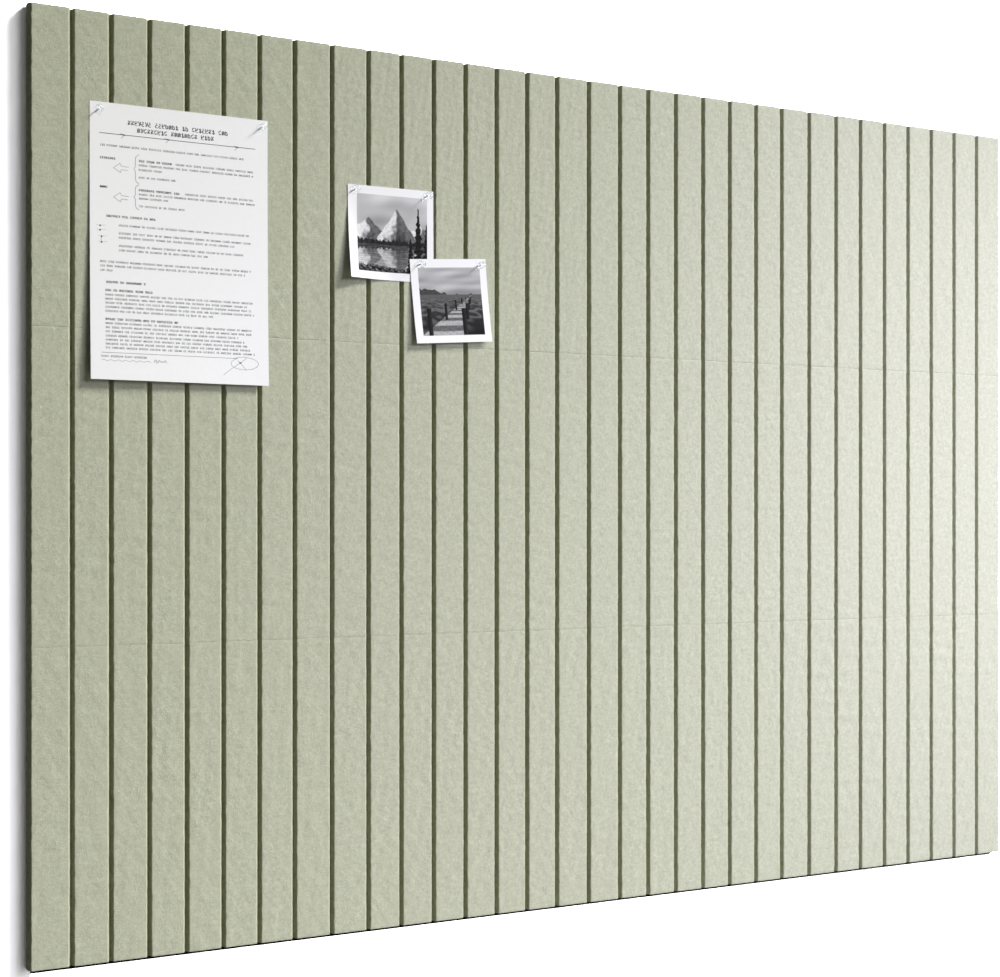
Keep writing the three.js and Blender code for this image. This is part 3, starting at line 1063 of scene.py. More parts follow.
@dataclass
class TypedNotice(PinnedSheet):
    """A typed sheet with pen marks. Its lines are made-up marks, not letters."""

    ink_depth: float = 0.02
    ink_rise: float = 0.03
    # Each rule: left end, right end, middle and width, from the sheet's left and top edges
    rules: tuple[tuple[float, ...], ...] = ((9.1, 162.7, 29.3, 0.6), (10.2, 143.9, 237.4, 0.34))
    # Each line: style, left end, right end and middle, from the sheet's left and top edges
    typed: tuple[tuple[TypeStyle, float, float, float], ...] = (
        (TITLE, 36.2, 135.7, 17.0), (TITLE, 45.2, 126.9, 23.5), (BODY, 10.0, 153.4, 40.5),
        (HEADING, 9.6, 26.1, 52.5), (HEADING, 46.7, 80.3, 52.5), (BODY, 82.6, 161.9, 52.5),
        (BODY, 46.7, 161.9, 56.6), (BODY, 46.7, 69.6, 61.0), (BODY, 46.7, 84.0, 68.3),
        (HEADING, 9.6, 17.3, 80.0), (HEADING, 46.7, 89.6, 80.4), (BODY, 92.0, 162.4, 80.4),
        (BODY, 46.7, 162.4, 84.5), (BODY, 46.7, 78.0, 88.4), (BODY, 46.7, 93.9, 95.8),
        (HEADING, 15.6, 63.1, 107.5), (BODY, 27.4, 157.0, 115.8), (BODY, 27.4, 158.9, 123.3),
        (BODY, 27.4, 142.5, 127.5), (BODY, 27.4, 152.9, 135.3), (BODY, 27.4, 115.3, 139.5),
        (BODY, 9.7, 158.7, 151.0), (BODY, 9.7, 152.8, 155.1), (BODY, 9.7, 22.2, 159.3),
        (HEADING, 15.3, 53.6, 170.3), (HEADING, 14.4, 61.6, 178.0), (BODY, 14.4, 162.5, 182.4),
        (BODY, 14.4, 153.9, 186.3), (BODY, 14.4, 159.2, 190.1), (BODY, 14.4, 162.4, 194.0),
        (BODY, 14.4, 120.2, 197.9), (HEADING, 14.4, 85.8, 205.5), (BODY, 14.4, 159.5, 209.5),
        (BODY, 14.4, 159.4, 213.4), (BODY, 14.4, 145.9, 217.3), (BODY, 14.4, 151.8, 221.4),
        (BODY, 14.4, 156.4, 225.2), (BODY, 14.4, 157.0, 229.0), (BODY, 14.4, 162.0, 232.7),
        (BODY, 10.0, 55.7, 240.8),
    )
    # Each mark is four strokes in a cell one wide and one high, given by their two ends
    marks: tuple[tuple[tuple[float, float, float, float], ...], ...] = (
        ((0.1, 0.0, 0.1, 1.0), (0.1, 0.45, 0.7, 0.6), (0.7, 0.6, 0.7, 1.0), (0.35, 0.0, 0.7, 0.0)),
        ((0.1, 0.25, 0.4, 0.0), (0.4, 0.0, 0.72, 0.3), (0.1, 0.75, 0.72, 0.95), (0.1, 0.4, 0.1, 0.75)),
        ((0.4, 0.0, 0.4, 1.25), (0.1, 0.75, 0.7, 0.6), (0.1, 0.1, 0.7, 0.0), (0.7, 0.0, 0.7, 0.35)),
        ((0.1, 1.0, 0.42, 0.45), (0.42, 0.45, 0.42, -0.25), (0.7, 0.2, 0.7, 1.0), (0.1, 0.1, 0.3, 0.1)),
        ((0.1, 0.0, 0.1, 0.85), (0.42, 0.15, 0.42, 1.0), (0.74, 0.0, 0.74, 0.85), (0.1, 0.0, 0.42, 0.15)),
        ((0.1, 0.5, 0.7, 0.6), (0.1, 0.05, 0.7, 0.0), (0.15, 0.95, 0.6, 0.9), (0.1, 0.05, 0.1, 0.5)),
        ((0.12, 0.0, 0.7, 0.95), (0.1, 0.7, 0.3, 0.98), (0.5, 0.05, 0.74, 0.3), (0.12, 0.0, 0.12, 0.5)),
        ((0.12, 0.1, 0.12, 1.25), (0.12, 0.1, 0.66, 0.0), (0.66, 0.0, 0.66, 0.55), (0.66, 0.55, 0.3, 0.8)),
    )

    def typed_strokes(self) -> tuple[np.ndarray, np.ndarray]:
        """Set the typed lines.

        Along each line, seeded word lengths leave every so many cells empty, and each other cell
        takes a seeded mark, scaled to the style.

        Returns:
            The strokes' ends, from the sheet's left and top edges, and their widths.
        """
        random = np.random.default_rng(self.seed)
        table = np.array(self.marks)
        strokes, widths = [], []
        for style, left, right, middle in self.typed:
            height, advance, stroke = style.value
            cells = max(1, int((right - left) / advance))
            gaps = np.cumsum(random.integers(3, 10, cells))
            cell = np.setdiff1d(np.arange(cells), gaps[gaps < cells])
            mark = table[random.integers(len(table), size=len(cell))]
            if style is not BODY:
                mark[..., [1, 3]] = np.clip(mark[..., [1, 3]], 0, 1)
            x = left + cell[:, None] * advance
            y = np.full_like(x, middle + height / 2)
            scale = np.array([advance, -height, advance, -height])
            strokes.append((mark * scale + np.stack([x, y, x, y], -1)).reshape(-1, 4))
            widths.append(np.full(len(strokes[-1]), stroke))
        for left, right, middle, stroke in self.rules:
            s = np.linspace(left, right, 60)
            t = np.full_like(s, middle)
            strokes.append(np.stack([s[:-1], t[:-1], s[1:], t[1:]], -1))
            widths.append(np.full(len(s) - 1, stroke))
        return np.concatenate(strokes), np.concatenate(widths)

    def pen_strokes(self) -> tuple[np.ndarray, np.ndarray]:
        """Draw the pen marks: ticks, arrows, braces, list dots, an underline and a ring.

        Returns:
            The strokes' ends, from the sheet's left and top edges, and their widths.
        """
        paths = []
        for s in (32.1, 75.1, 143.9):
            paths.append(([[s - 3.2, 28.2], [s + 0.6, 29.4], [s - 2.2, 32.8]], 0.35))
            paths.append(([[s - 1.3, 29.0], [s + 1.5, 29.5]], 1.2))
        arrow = np.array(
            [[14.5, -1.3], [7.4, -1.9], [6.3, -4.4], [0.0, 0.2], [6.6, 4.4], [7.5, 1.6], [13.6, 1.7]]
        )
        paths += [(arrow + [22.5, t], 0.3) for t in (61.0, 89.0)]
        # A brace bows back to a point at its middle and curls forward at both ends
        q = np.linspace(-1, 1, 33)
        bow = 43.4 - 1.5 * np.exp(-((q / 0.09) ** 2)) + 3.6 * np.abs(q) ** 9
        for top, bottom in ((46.5, 74.6), (75.4, 99.4)):
            paths.append((np.stack([bow, (top + bottom) / 2 + q * (bottom - top) / 2], -1), 0.38))
        for s, t in ((9.7, 117.3), (9.6, 121.5), (11.1, 127.5), (11.0, 132.9)):
            paths.append(([[s - 0.75, t], [s + 0.75, t]], 1.5))
            paths.append(([[s - 3.6, t - 0.8], [s, t], [s + 5.4, t - 0.9]], 0.16))
        paths.append(([[11.1, 127.5], [10.6, 130.2], [11.0, 132.9]], 0.3))
        s = np.linspace(10.2, 57.5, 49)
        paths.append((np.stack([s, 244.7 + 0.65 * np.sin(s * 0.9)], -1), 0.26))
        s = np.linspace(60.5, 72.5, 25)
        paths.append((np.stack([s, 244.0 + 1.7 * np.sin(s * 1.7) * np.cos(s * 0.3)], -1), 0.45))
        turn = np.linspace(-2.4, 4.1, 49)
        ring = np.stack([150.6 + 14.4 * np.cos(turn), 242.0 + 6.0 * np.sin(turn)], -1)
        paths.append((ring + np.stack([turn * 0.25, turn * 0.12], -1), 0.3))
        paths.append(([[129.5, 253.8], [138.0, 247.2], [146.6, 241.4], [153.0, 236.6]], 0.3))
        paths.append(([[143.6, 239.4], [147.0, 242.0], [152.5, 248.6]], 0.3))
        paths.append(([[145.4, 241.4], [147.6, 241.8]], 1.3))
        strokes = np.concatenate([np.hstack([path[:-1], path[1:]]) for path, _ in paths])
        return strokes, np.concatenate([np.full(len(path) - 1, width) for path, width in paths])

    def ink_shell(self, strokes: np.ndarray, widths: np.ndarray) -> Shell:
        """Lay strokes on the sheet as thin closed bars.

        Each stroke's two ends are carried half its width to both sides, which gives four corners.
        They are set a little into the paper and a little above it and joined to a closed bar.

        Args:
            strokes: the strokes' ends, from the sheet's left and top edges.
            widths: their widths.

        Returns:
            The surface of all the bars.
        """
        start, end = (
            np.stack([ends[:, 0] - self.width / 2, self.height / 2 - ends[:, 1]], -1)
            for ends in (strokes[:, :2], strokes[:, 2:])
        )
        way = (end - start) / np.linalg.norm(end - start, axis=1, keepdims=True)
        side = np.stack([-way[:, 1], way[:, 0]], -1) * widths[:, None] / 2
        corners = np.stack([start - side, end - side, end + side, start + side], 1)
        x, z = corners[..., 0], corners[..., 1]
        above = self.on_board(x, z, self.thickness + self.ink_rise)
        below = self.on_board(x, z, self.thickness - self.ink_depth)
        box = [[0, 1, 2, 3], [7, 6, 5, 4], [1, 0, 4, 5], [2, 1, 5, 6], [3, 2, 6, 7], [0, 3, 7, 4]]
        quads = (np.arange(len(strokes))[:, None, None] * 8 + np.array(box)).reshape(-1, 4)
        return Shell(np.concatenate([above, below], 1).reshape(-1, 3), [Faces(quads)])

    def dress(self) -> None:
        """Build the sheet, its typing and its pen marks."""
        sheet = self.shell().build("notice_sheet", [BondPaper().material()])
        fit_piece(sheet, self.body, ("typed_notice",))
        pen = LaidInk("felt_tip_ink", dense="#1E2023", thin="#43464C", roughness=0.7)
        for name, strokes, ink in (
            ("notice_typing", self.typed_strokes(), LaidInk()),
            ("notice_pen_marks", self.pen_strokes(), pen),
        ):
            marks = self.ink_shell(*strokes).build(name, [ink.material()])
            fit_piece(marks, self.body)


@dataclass(kw_only=True)
class PhotoPrint(PinnedSheet, ABC):
    """A square print with a white border, whose widths are left, right, bottom and top."""

    border: tuple[float, float, float, float]
    picture_step: float = 0.5
    edge_blend: float = 0.12
    border_lines: int = 6

    def picture_box(self) -> tuple[float, float, float, float]:
        """Give the picture's left, right, bottom and top, from the sheet's centre."""
        x, z = self.width / 2, self.height / 2
        return -x + self.border[0], x - self.border[1], -z + self.border[2], z - self.border[3]

    def spaced(self, half: float, low: float, high: float) -> np.ndarray:
        """Space lines from -half to half, close together between low and high.

        Args:
            half: half the sheet's size.
            low: where the picture starts.
            high: where it ends.

        Returns:
            The lines' distances from the sheet's centre.
        """
        count = round((high - low) / self.picture_step)
        inner = np.linspace(low + self.edge_blend, high - self.edge_blend, count)
        outer = np.linspace(-half, low, self.border_lines), np.linspace(high, half, self.border_lines)
        return np.concatenate([outer[0], inner, outer[1]])

    def lines(self) -> tuple[np.ndarray, np.ndarray]:
        """Give the sheet's grid lines: wide apart on the border and close on the picture."""
        left, right, bottom, top = self.picture_box()
        return self.spaced(self.width / 2, left, right), self.spaced(self.height / 2, bottom, top)

    @abstractmethod
    def greys(self, u: np.ndarray, v: np.ndarray) -> np.ndarray:
        """Draw the picture, from 0, black, to 1, white."""

    def attributes(self, x: np.ndarray, z: np.ndarray) -> dict[str, np.ndarray]:
        """Give the tone at each point of the face.

        Inside the picture's box it is the grey there to the power of the display's gamma, which
        turns it to light. On the border the base is bare, and the tone is one.

        Args:
            x: distances right of the sheet's centre.
            z: distances above the sheet's centre.

        Returns:
            The tones under the attribute's name.
        """
        left, right, bottom, top = self.picture_box()
        u, v = (x - left) / (right - left), (z - bottom) / (top - bottom)
        inside = (u > EDGE_SHARE) & (u < 1 - EDGE_SHARE) & (v > EDGE_SHARE) & (v < 1 - EDGE_SHARE)
        return {"tone": np.where(inside, self.greys(u, v) ** DISPLAY_GAMMA, 1.0)}

    def dress(self, paper: bpy.types.Material) -> None:
        """Build the print on its photo paper."""
        sheet = self.shell().build(f"{self.body}_photo", [paper])
        fit_piece(sheet, self.body, (self.body,))


@dataclass
class LakePrint(PhotoPrint):
    """A print of a made-up view: two peaks mirrored in a lake, with a stony bank and firs."""

    level: float = 0.36
    # Each peak, from the farthest: middle, half width and height over the lake
    peaks: tuple[tuple[float, ...], ...] = ((0.9, 0.5, 0.26), (0.16, 0.42, 0.34), (0.56, 0.34, 0.47))
    # Each fir: stem, top and half width at its foot
    firs: tuple[tuple[float, ...], ...] = ((0.87, 0.86, 0.1), (0.99, 0.66, 0.08), (0.76, 0.46, 0.06))

    def land(self, u: np.ndarray, v: np.ndarray) -> np.ndarray:
        """Draw snowy peaks over a dark wood, under a cloudy sky.

        A peak is a tent with a rough edge, pale with snow near its crest on the left of its middle
        and in shade on the right. The wood ends along a ragged line over the lake.

        Args:
            u: shares of the picture's width, from its left.
            v: shares of its height, from its bottom.

        Returns:
            Greys from 0 to 1.
        """
        grain = ripple(u * 60, v * 60, (1, 5), 41)
        grey = 0.62 + 0.22 * v + 0.035 * ripple(u * 3, v * 9, (1, 4), 42)
        rough = 0.012 * ripple(u * 14, 0 * v, (1, 5), 43)
        folds = 0.02 * ripple(u * 9, v * 9, (1, 4), 44)
        drifts = 0.03 * ripple(u * 22, v * 22, (1, 4), 45)
        for middle, half, height in self.peaks:
            crest = self.level + height * (1 - np.abs(u - middle) / half) + rough
            snow = smoothstep(0.3, 0.1, crest - v + drifts)
            lit, shaded = 0.5 + 0.45 * snow, 0.3 + 0.14 * snow
            side = lit + (shaded - lit) * smoothstep(-0.01, 0.02, u - middle + folds)
            grey = np.where(v < crest, side + 0.03 * grain, grey)
        wood = self.level + 0.06 + 0.012 * ripple(u * 40, 0 * v, (1, 3), 46)
        return np.where(v < wood, 0.18 + 0.02 * grain, grey)

    def greys(self, u: np.ndarray, v: np.ndarray) -> np.ndarray:
        """Draw the land, the lake, the bank and the firs.

        The lake is the land turned over about its level, duller and crossed by fine waves. A fir is
        a triangle whose edge steps in and out by a sine, so that it has branches.

        Args:
            u: shares of the picture's width, from its left.
            v: shares of its height, from its bottom.

        Returns:
            Greys from 0 to 1.
        """
        land = self.land(u + 0.004 * np.sin(v * 260), np.abs(v - self.level) + self.level)
        waves = np.sin(v * 190 + 2 * ripple(u * 5, v * 30, (1, 4), 47))
        grey = np.where(v < self.level, 0.16 + 0.66 * land + 0.05 * waves, land)
        stones = ripple(u * 26, v * 40, (1, 3), 48)
        grey = np.where(v < 0.1 - 0.07 * u + 0.01 * stones, 0.24 + 0.12 * stones, grey)
        needles = 0.13 + 0.035 * ripple(u * 50, v * 50, (1, 4), 50)
        twigs = 0.12 * ripple(u * 50, v * 50, (1, 4), 49)
        for stem, top, half in self.firs:
            share = (top - v) / top
            branches = 0.75 + 0.25 * np.sin(share * 60) + twigs
            fir = (np.abs(u - stem) < half * share * branches + 0.006) & (share > 0)
            grey = np.where(fir, needles, grey)
        return np.clip(grey, 0.02, 0.97)


@dataclass
class JettyPrint(PhotoPrint):
    """A print of a made-up view: a plank jetty on calm water, before a low headland."""

    horizon: float = 0.6
    # Where the jetty's middle meets the horizon, how far it runs left and how wide it grows, each
    # for every share of the height that it comes down
    far_end: float = 0.84
    run: float = -0.86
    spread: float = 0.56

    def greys(self, u: np.ndarray, v: np.ndarray) -> np.ndarray:
        """Draw the sky, the headland, the water and the jetty.

        Planks and waves are sines of one over the depth below the horizon, which is how evenly
        spaced lines close up with distance. The posts stand in pairs, each pair larger and nearer.

        Args:
            u: shares of the picture's width, from its left.
            v: shares of its height, from its bottom.

        Returns:
            Greys from 0 to 1.
        """
        grain = ripple(u * 60, v * 60, (1, 5), 53)
        below = np.maximum(self.horizon - v, 0.012)
        grey = 0.5 + 0.28 * v + 0.05 * ripple(u * 2.4, v * 12, (1, 4), 51)
        headland = 0.09 * smoothstep(0.55, 0.1, u) + 0.008 * ripple(u * 18, 0 * v, (1, 4), 52)
        grey = np.where(v < self.horizon + headland, 0.3 + 0.02 * grain, grey)
        swell = np.sin(1.9 / below + 1.6 * ripple(u * 3 / np.sqrt(below), 1 / below, (1, 5), 54))
        water = 0.31 + 0.11 * swell * smoothstep(0.0, 0.12, below) + 0.3 * (v - 0.3)
        grey = np.where(v < self.horizon, water, grey)
        deck = 0.42 + 0.3 * smoothstep(-0.5, 0.2, np.sin(8.5 / below)) + 0.03 * grain
        across = np.abs(u - self.far_end - self.run * below)
        grey = np.where((below > 0.012) & (across < self.spread * below), deck, grey)
        for share in 0.62 ** np.arange(5, -1, -1):
            foot = 0.5 * share
            up = (v - self.horizon + foot) / share
            for side in (-self.spread, self.spread):
                across = (u - self.far_end - (self.run + side) * foot) / share
                post = (np.abs(across) < 0.035) & (up > -0.1) & (up < 0.3)
                grey = np.where(post, 0.1 + 0.1 * smoothstep(-0.035, 0.035, across), grey)
        return np.clip(grey, 0.02, 0.97)


@dataclass
class PushPins:
    """Clear push pins: a moulded head with a flange, waist and grip, on a steel needle."""

    sheets: dict[str, PinnedSheet]
    flange_radius: float = 4.6
    flange_thickness: float = 1.5
    stem_radius: float = 2.9
    waist_radius: float = 2.4
    waist_height: float = 5.6
    grip_radius: float = 3.8
    grip_height: float = 8.6
    grip_edge_radius: float = 0.6
    grip_crown: float = 0.5
    head_height: float = 12.0
    gate_radius: float = 0.7
    gate_depth: float = 0.15
    parting_ridge: float = 0.04
    # The ridge's half width, as the sine of its angle about the axis
    ridge_reach: float = 0.03
    needle_radius: float = 0.55
    needle_reach: float = 10.0
    needle_point: float = 2.4
    needle_tip: float = 0.06
    needle_held: float = 7.0
    segments: int = 48

    def turned(
        self, profile: np.ndarray, centre: tuple[float, float, float], ridge_height: float = 0.0
    ) -> Shell:
        """Turn a profile about the pin's axis.

        Each point's radius is swept through a full turn in the plane of the wall, and its height is
        carried towards the room. A ridge like a narrow bell stands on two opposite meridians, where
        the mould's halves met. The profile's ends are on the axis and close to single points.

        Args:
            profile: radii and heights, from the axis to the axis, with the needle's side first.
            centre: where height zero is on the axis.
            ridge_height: how far the parting ridge stands out.

        Returns:
            The turned surface.
        """
        radius, height = profile[1:-1, :1], profile[1:-1, 1:]
        turn = np.linspace(0, 2 * np.pi, self.segments, endpoint=False)
        if ridge_height:
            close = np.radians([-4.0, -2.0, -1.0, 1.0, 2.0, 4.0])
            turn = np.unique(np.round(np.concatenate([turn, close, np.pi + close]) % (2 * np.pi), 6))
        ridge_share = np.exp(-((np.sin(turn) / self.ridge_reach) ** 2))
        r = radius + ridge_height * ridge_share * (radius > self.needle_radius)
        x, y, z = centre
        y_rings = np.broadcast_to(y - height, r.shape)
        rings = np.stack([x + r * np.cos(turn), y_rings, z + r * np.sin(turn)], -1)
        number, quads = ring_quads(len(radius), len(turn))
        after = np.roll(number, -1, axis=1)
        first, last = (np.full(len(turn), number.size + pole) for pole in (0, 1))
        start = np.stack([first, after[0], number[0]], -1)
        end = np.stack([last, number[-1], after[-1]], -1)
        poles = [[x, y - profile[i, 1], z] for i in (0, -1)]
        return Shell(
            np.concatenate([rings.reshape(-1, 3), poles]),
            [Faces(quads.reshape(-1, 4), smooth=True), Faces(np.concatenate([start, end]), smooth=True)],
        )

    def head_profile(self) -> np.ndarray:
        """Work out the head's profile from the flange's face to the dimple left by the gate.

        It is a chain of quadratic curves, with small offsets that keep the moulding's corners
        round. A curve that starts where the last one ended leaves out its first point.

        Returns:
            Radii and heights above the flange's face.
        """
        rim, low, bead = self.flange_radius, self.flange_thickness, self.flange_thickness / 2
        stem, waist, waist_end = self.stem_radius, self.waist_radius, self.waist_height
        grip, grip_start = self.grip_radius, self.grip_height
        top = self.head_height - self.grip_crown
        edge, gate = grip - self.grip_edge_radius, self.gate_radius
        crown = self.head_height - self.grip_crown * (gate / edge) ** 2
        dimple = crown - self.gate_depth
        under_grip = (grip - 0.35, grip_start - 0.1)
        curves = (
            ((rim - bead, 0.0), (rim, 0.0), (rim, bead)),
            ((rim, bead), (rim, low), (rim - bead, low)),
            ((stem + 0.5, low), (stem, low), (stem - 0.1, low + 0.5)),
            ((stem - 0.12, low + 0.6), (waist, low + 1.2), (waist, waist_end)),
            ((waist, waist_end), (waist, grip_start - 0.4), under_grip),
            (under_grip, (grip, grip_start), (grip, grip_start + 0.4)),
            ((grip, top - self.grip_edge_radius), (grip, top), (edge, top)),
            ((edge, top), ((edge + gate) / 2, crown), (gate, crown)),
        )
        parts = [np.array([[0.0, 0.0], [rim * 0.45, 0.0]])]
        for curve in curves:
            joined = int(np.allclose(parts[-1][-1], curve[0]))
            parts.append(bend(*curve)[joined:])
        return np.concatenate([*parts, [[gate - 0.12, dimple], [0.0, dimple]]])

    def needle_profile(self) -> np.ndarray:
        """Work out the needle's profile, a curved point on a straight shaft.

        Returns:
            Radii and heights above the flange's face, from the tip to the held end.
        """
        tip, shaft, end = -self.needle_reach, self.needle_point - self.needle_reach, self.needle_held
        r = self.needle_radius
        return np.concatenate(
            [
                [[0.0, tip], [self.needle_tip, tip + 0.02]],
                bend((self.needle_tip, tip + 0.1), (r * 0.8, shaft - 0.5), (r, shaft)),
                [[r, 0.0], [r, end - 0.08], [r - 0.08, end], [0.0, end]],
            ]
        )

    def dress(self) -> None:
        """Build every pin's head and needle."""
        plastic, steel = ClearPolystyrene().material(), NeedleSteel().material()
        for pin_name, sheet in self.sheets.items():
            for pin in sheet.pins:
                name = f"{pin_name}_{pin.side.value}"
                spot = sheet.on_board(*np.array(sheet.pin_place(pin)), 0.0)
                # The head stands straight on the sheet where it lies flat
                centre = (spot[0], sheet.back - sheet.thickness - REST_CLEARANCE, spot[2])
                head = self.turned(self.head_profile(), centre, self.parting_ridge)
                piece = head.build(f"{name}_moulding", [plastic])
                # Clear plastic passes the light on: the shadow that shows is the needle's
                piece.visible_shadow = False
                piece.visible_diffuse = False
                fit_piece(piece, name, (f"{name}_head",))
                needle = self.turned(self.needle_profile(), centre)
                piece = needle.build(f"{name}_point", [steel])
                fit_piece(piece, name, (f"{name}_needle",))


class LampKind(Enum):
    """The kinds of lamp: a patch of sky, too far away to fade across the board, and a softbox."""

    SKY = "SUN"
    SOFTBOX = "AREA"


@dataclass(frozen=True)
class Lamp:
    """A soft lamp that faces its aim. Its place and aim are in metres.

    The width of a patch of sky is in degrees and its power in watts a square metre. A softbox's
    width is in metres and its power in watts, and a grid holds in its beam, in degrees.
    """

    kind: LampKind
    name: str
    place: tuple[float, float, float]
    width: float
    power: float
    aim: tuple[float, float, float] = (0.0, 0.0, 0.0)
    colour: tuple[float, float, float] = (1.0, 1.0, 1.0)
    beam: float = 180.0

    def hang(self) -> None:
        """Put the lamp in the scene."""
        light = bpy.data.lights.new(self.name, self.kind.value)
        light.energy, light.color = self.power, self.colour
        if self.kind is LampKind.SKY:
            light.angle = math.radians(self.width)
        else:
            light.size, light.spread = self.width, math.radians(self.beam)
        lamp = link(self.name, light)
        lamp.location = self.place
        way = Vector(self.aim) - Vector(self.place)
        lamp.rotation_euler = way.to_track_quat("-Z", "Y").to_euler()


@dataclass(frozen=True)
class Studio:
    """A white wall and floor, soft lamps and the photograph's camera. Lengths are in metres."""

    plan: BoardPlan
    camera_place: tuple[float, float, float] = (-0.894, -1.553, -0.028)
    camera_turn: float = -27.003
    focal_length: float = 58.45
    sensor_width: float = 36.0
    rise: float = 0.0285
    wall_half_width: float = 4.5
    wall_top: float = 3.0
    floor_half_width: float = 14.0
    floor_level: float = -1.3
    floor_depth: float = 14.0
    hole_margin: float = 0.004
    shade_reach: float = 0.0054
    ambient: float = 0.02
    mirrored: float = 0.3
    # The wall is seen less white on the board's left, for its shadow, and a strip right under the
    # board is painted almost black as a painted shadow
    wall_paints: tuple[StagePaint, ...] = (
        StagePaint("shaded_wall", seen=1.8),
        StagePaint("bright_wall", seen=6.0),
        StagePaint("wall_shade_line", seen=0.01),
    )
    # The floor behind the wall lies in the wall's shade, so it is seen whiter
    floor_paints: tuple[StagePaint, ...] = (
        StagePaint("floor_paint", seen=0.9, given_back=0.12),
        StagePaint("rear_floor_paint", seen=2.6, given_back=0.12),
    )
    lamps: tuple[Lamp, ...] = (
        Lamp(LampKind.SKY, "low_daylight", (0.78, -1.0, 0.36), 24.0, 0.8),
        Lamp(LampKind.SKY, "high_daylight", (1.75, -1.0, 1.45), 15.0, 4.72, colour=(1.0, 1.0, 0.97)),
        Lamp(
            LampKind.SOFTBOX, "right_window", (0.894, -1.369, 0.5), 0.6, 9.9, (0.767, 0.0, -0.12),
            (0.77, 0.74, 1.0), 92.5,
        ),
        Lamp(LampKind.SOFTBOX, "floor_bounce", (-0.1, -0.85, -0.75), 0.8, 2.1, (-0.35, 0.0, -0.3)),
        Lamp(LampKind.SOFTBOX, "back", (-1.2, 3.0, 2.4), 1.6, 276.0),
    )

    def frame_camera(self) -> None:
        """Put the camera at the photograph's viewpoint. Its axis is level and its frame is raised."""
        lens = bpy.data.cameras.new("photo_camera")
        lens.lens, lens.sensor_width, lens.shift_y = self.focal_length, self.sensor_width, self.rise
        camera = link("photo_camera", lens)
        camera.location = self.camera_place
        camera.rotation_euler = (math.radians(90), 0, math.radians(self.camera_turn))
        bpy.context.scene.camera = camera

    def panels(
        self, name: str, points: np.ndarray, pattern: list[list[int]], paints: tuple[StagePaint, ...]
    ) -> bpy.types.Object:
        """Build a stage piece of rectangles.

        Args:
            name: the object's name.
            points: the grid's points in metres, row by row.
            pattern: each rectangle's paint by number, row by row, or -1 where it is left out.
            paints: the paints.

        Returns:
            The object.
        """
        chosen = np.array(pattern)
        quads = grid_quads(chosen.shape[0] + 1, chosen.shape[1] + 1)
        faces = [Faces(quads[chosen.ravel() == i], finish=i) for i in range(len(paints))]
        shell = Shell(points.reshape(-1, 3) / MM, faces)
        return shell.build(name, [paint.material() for paint in paints])

    def build_wall(self) -> bpy.types.Object:
        """Build the wall: rectangles round a hole just inside the board's outline.

        Returns:
            The wall. Its hole lets light reach the board's back, which the board hides from the room.
        """
        side = -self.plan.left * MM - self.hole_margin
        end = self.plan.top * MM - self.hole_margin
        shade_end = -self.plan.top * MM - self.shade_reach
        x = [-self.wall_half_width, -side, side, self.wall_half_width]
        across, up = np.meshgrid(x, [self.floor_level, shade_end, -end, end, self.wall_top])
        points = np.stack([across, np.zeros_like(across), up], -1)
        # Columns run left, board and right. Rows run below, the strip of painted shadow, board and above
        pattern = [[0, 1, 1], [0, 2, 1], [0, -1, 1], [0, 1, 1]]
        return self.panels("studio_wall", points, pattern, self.wall_paints)

    def build_floor(self) -> bpy.types.Object:
        """Build the floor: a rectangle before the wall and another behind it.

        Returns:
            The floor.
        """
        wide, deep = self.floor_half_width, self.floor_depth
        across, away = np.meshgrid([-wide, wide], [-deep, 0.0, deep])
        points = np.stack([across, away, np.full_like(across, self.floor_level)], -1)
        return self.panels("studio_floor", points, [[0], [1]], self.floor_paints)

    def light_world(self) -> None:
        """Make the world a low even fill that looks white to the camera, gloss and clear plastic."""
        world = bpy.data.worlds.new("studio_world")
        world.use_nodes = True
        world.node_tree.nodes.clear()
        seen = {"Value": seen_rays(world, self.mirrored), "To Min": self.ambient}
        sky = {"Color": (1.0, 1.0, 1.0, 1.0), "Strength": add(world, "MapRange", seen)}
        add(world, "OutputWorld", {"Surface": add(world, "Background", sky)})
        bpy.context.scene.world = world

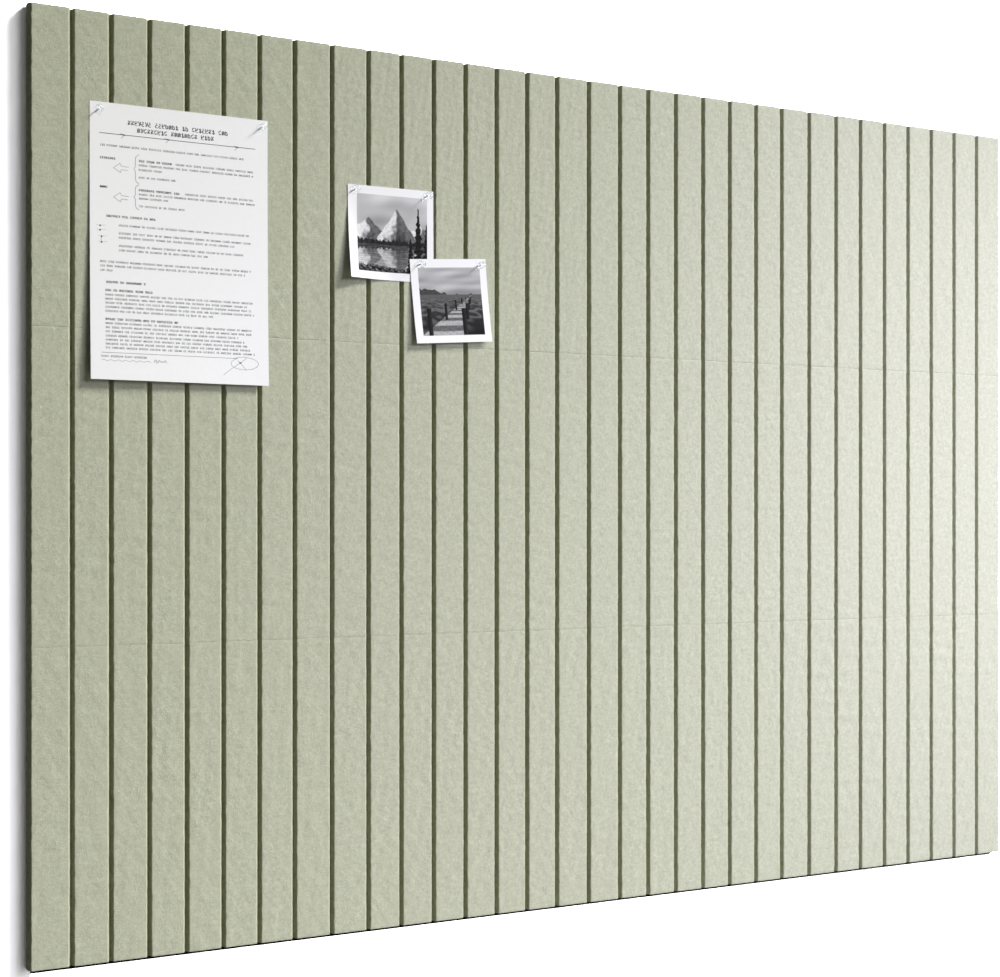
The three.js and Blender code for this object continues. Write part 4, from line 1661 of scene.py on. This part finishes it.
    def set_up(self) -> None:
        """Build the stage, hang the lamps and place the camera."""
        self.frame_camera()
        self.build_wall()
        self.build_floor()
        for lamp in self.lamps:
            lamp.hang()
        self.light_world()
        bpy.context.scene.view_settings.view_transform = "Standard"
        log.info("studio set up")


def main() -> None:
    """Build the board, its sheets and pins, and the studio."""
    logging.basicConfig(level=logging.INFO, format="%(name)s: %(message)s")
    plan = BoardPlan()
    on_felt = plan.felt_front - REST_CLEARANCE
    notice = TypedNotice(
        plan=plan,
        body="typed_notice",
        width=175.5,
        height=263.0,
        thickness=0.15,
        from_left=56.3,
        from_top=85.1,
        tilt=-0.07,
        back=on_felt,
        lift=6.0,
        curl_turn=8.0,
        flat_share=0.12,
        pins=(PinHole(Side.LEFT, 7.2, 8.5), PinHole(Side.RIGHT, 8.0, 8.5)),
        seed=5,
    )
    upper = LakePrint(
        plan=plan,
        body="upper_print",
        width=95.5,
        height=95.5,
        thickness=0.25,
        from_left=316.9,
        from_top=139.4,
        tilt=0.25,
        back=on_felt,
        lift=9.0,
        curl_turn=60.0,
        flat_share=0.65,
        pins=(PinHole(Side.LEFT, 5.5, 6.3), PinHole(Side.RIGHT, 9.1, 6.3)),
        seed=6,
        border=(9.8, 7.2, 8.0, 8.4),
    )
    lower = JettyPrint(
        plan=plan,
        body="lower_print",
        width=87.7,
        height=87.7,
        thickness=0.25,
        from_left=385.3,
        from_top=211.2,
        tilt=4.2,
        back=on_felt - upper.thickness - REST_CLEARANCE,
        lift=4.4,
        curl_turn=5.0,
        flat_share=0.12,
        pins=(PinHole(Side.LEFT, 9.2, 6.3), PinHole(Side.RIGHT, 9.2, 7.5)),
        seed=7,
        border=(8.3, 7.6, 7.6, 8.8),
    )
    FeltTiles(plan).dress()
    FoamTapes(plan).dress()
    notice.dress()
    photo_paper = PhotoPaper().material()
    upper.dress(photo_paper)
    lower.dress(photo_paper)
    PushPins({"notice_pin": notice, "upper_print_pin": upper, "lower_print_pin": lower}).dress()
    Studio(plan).set_up()


if __name__ == "__main__":
    main()
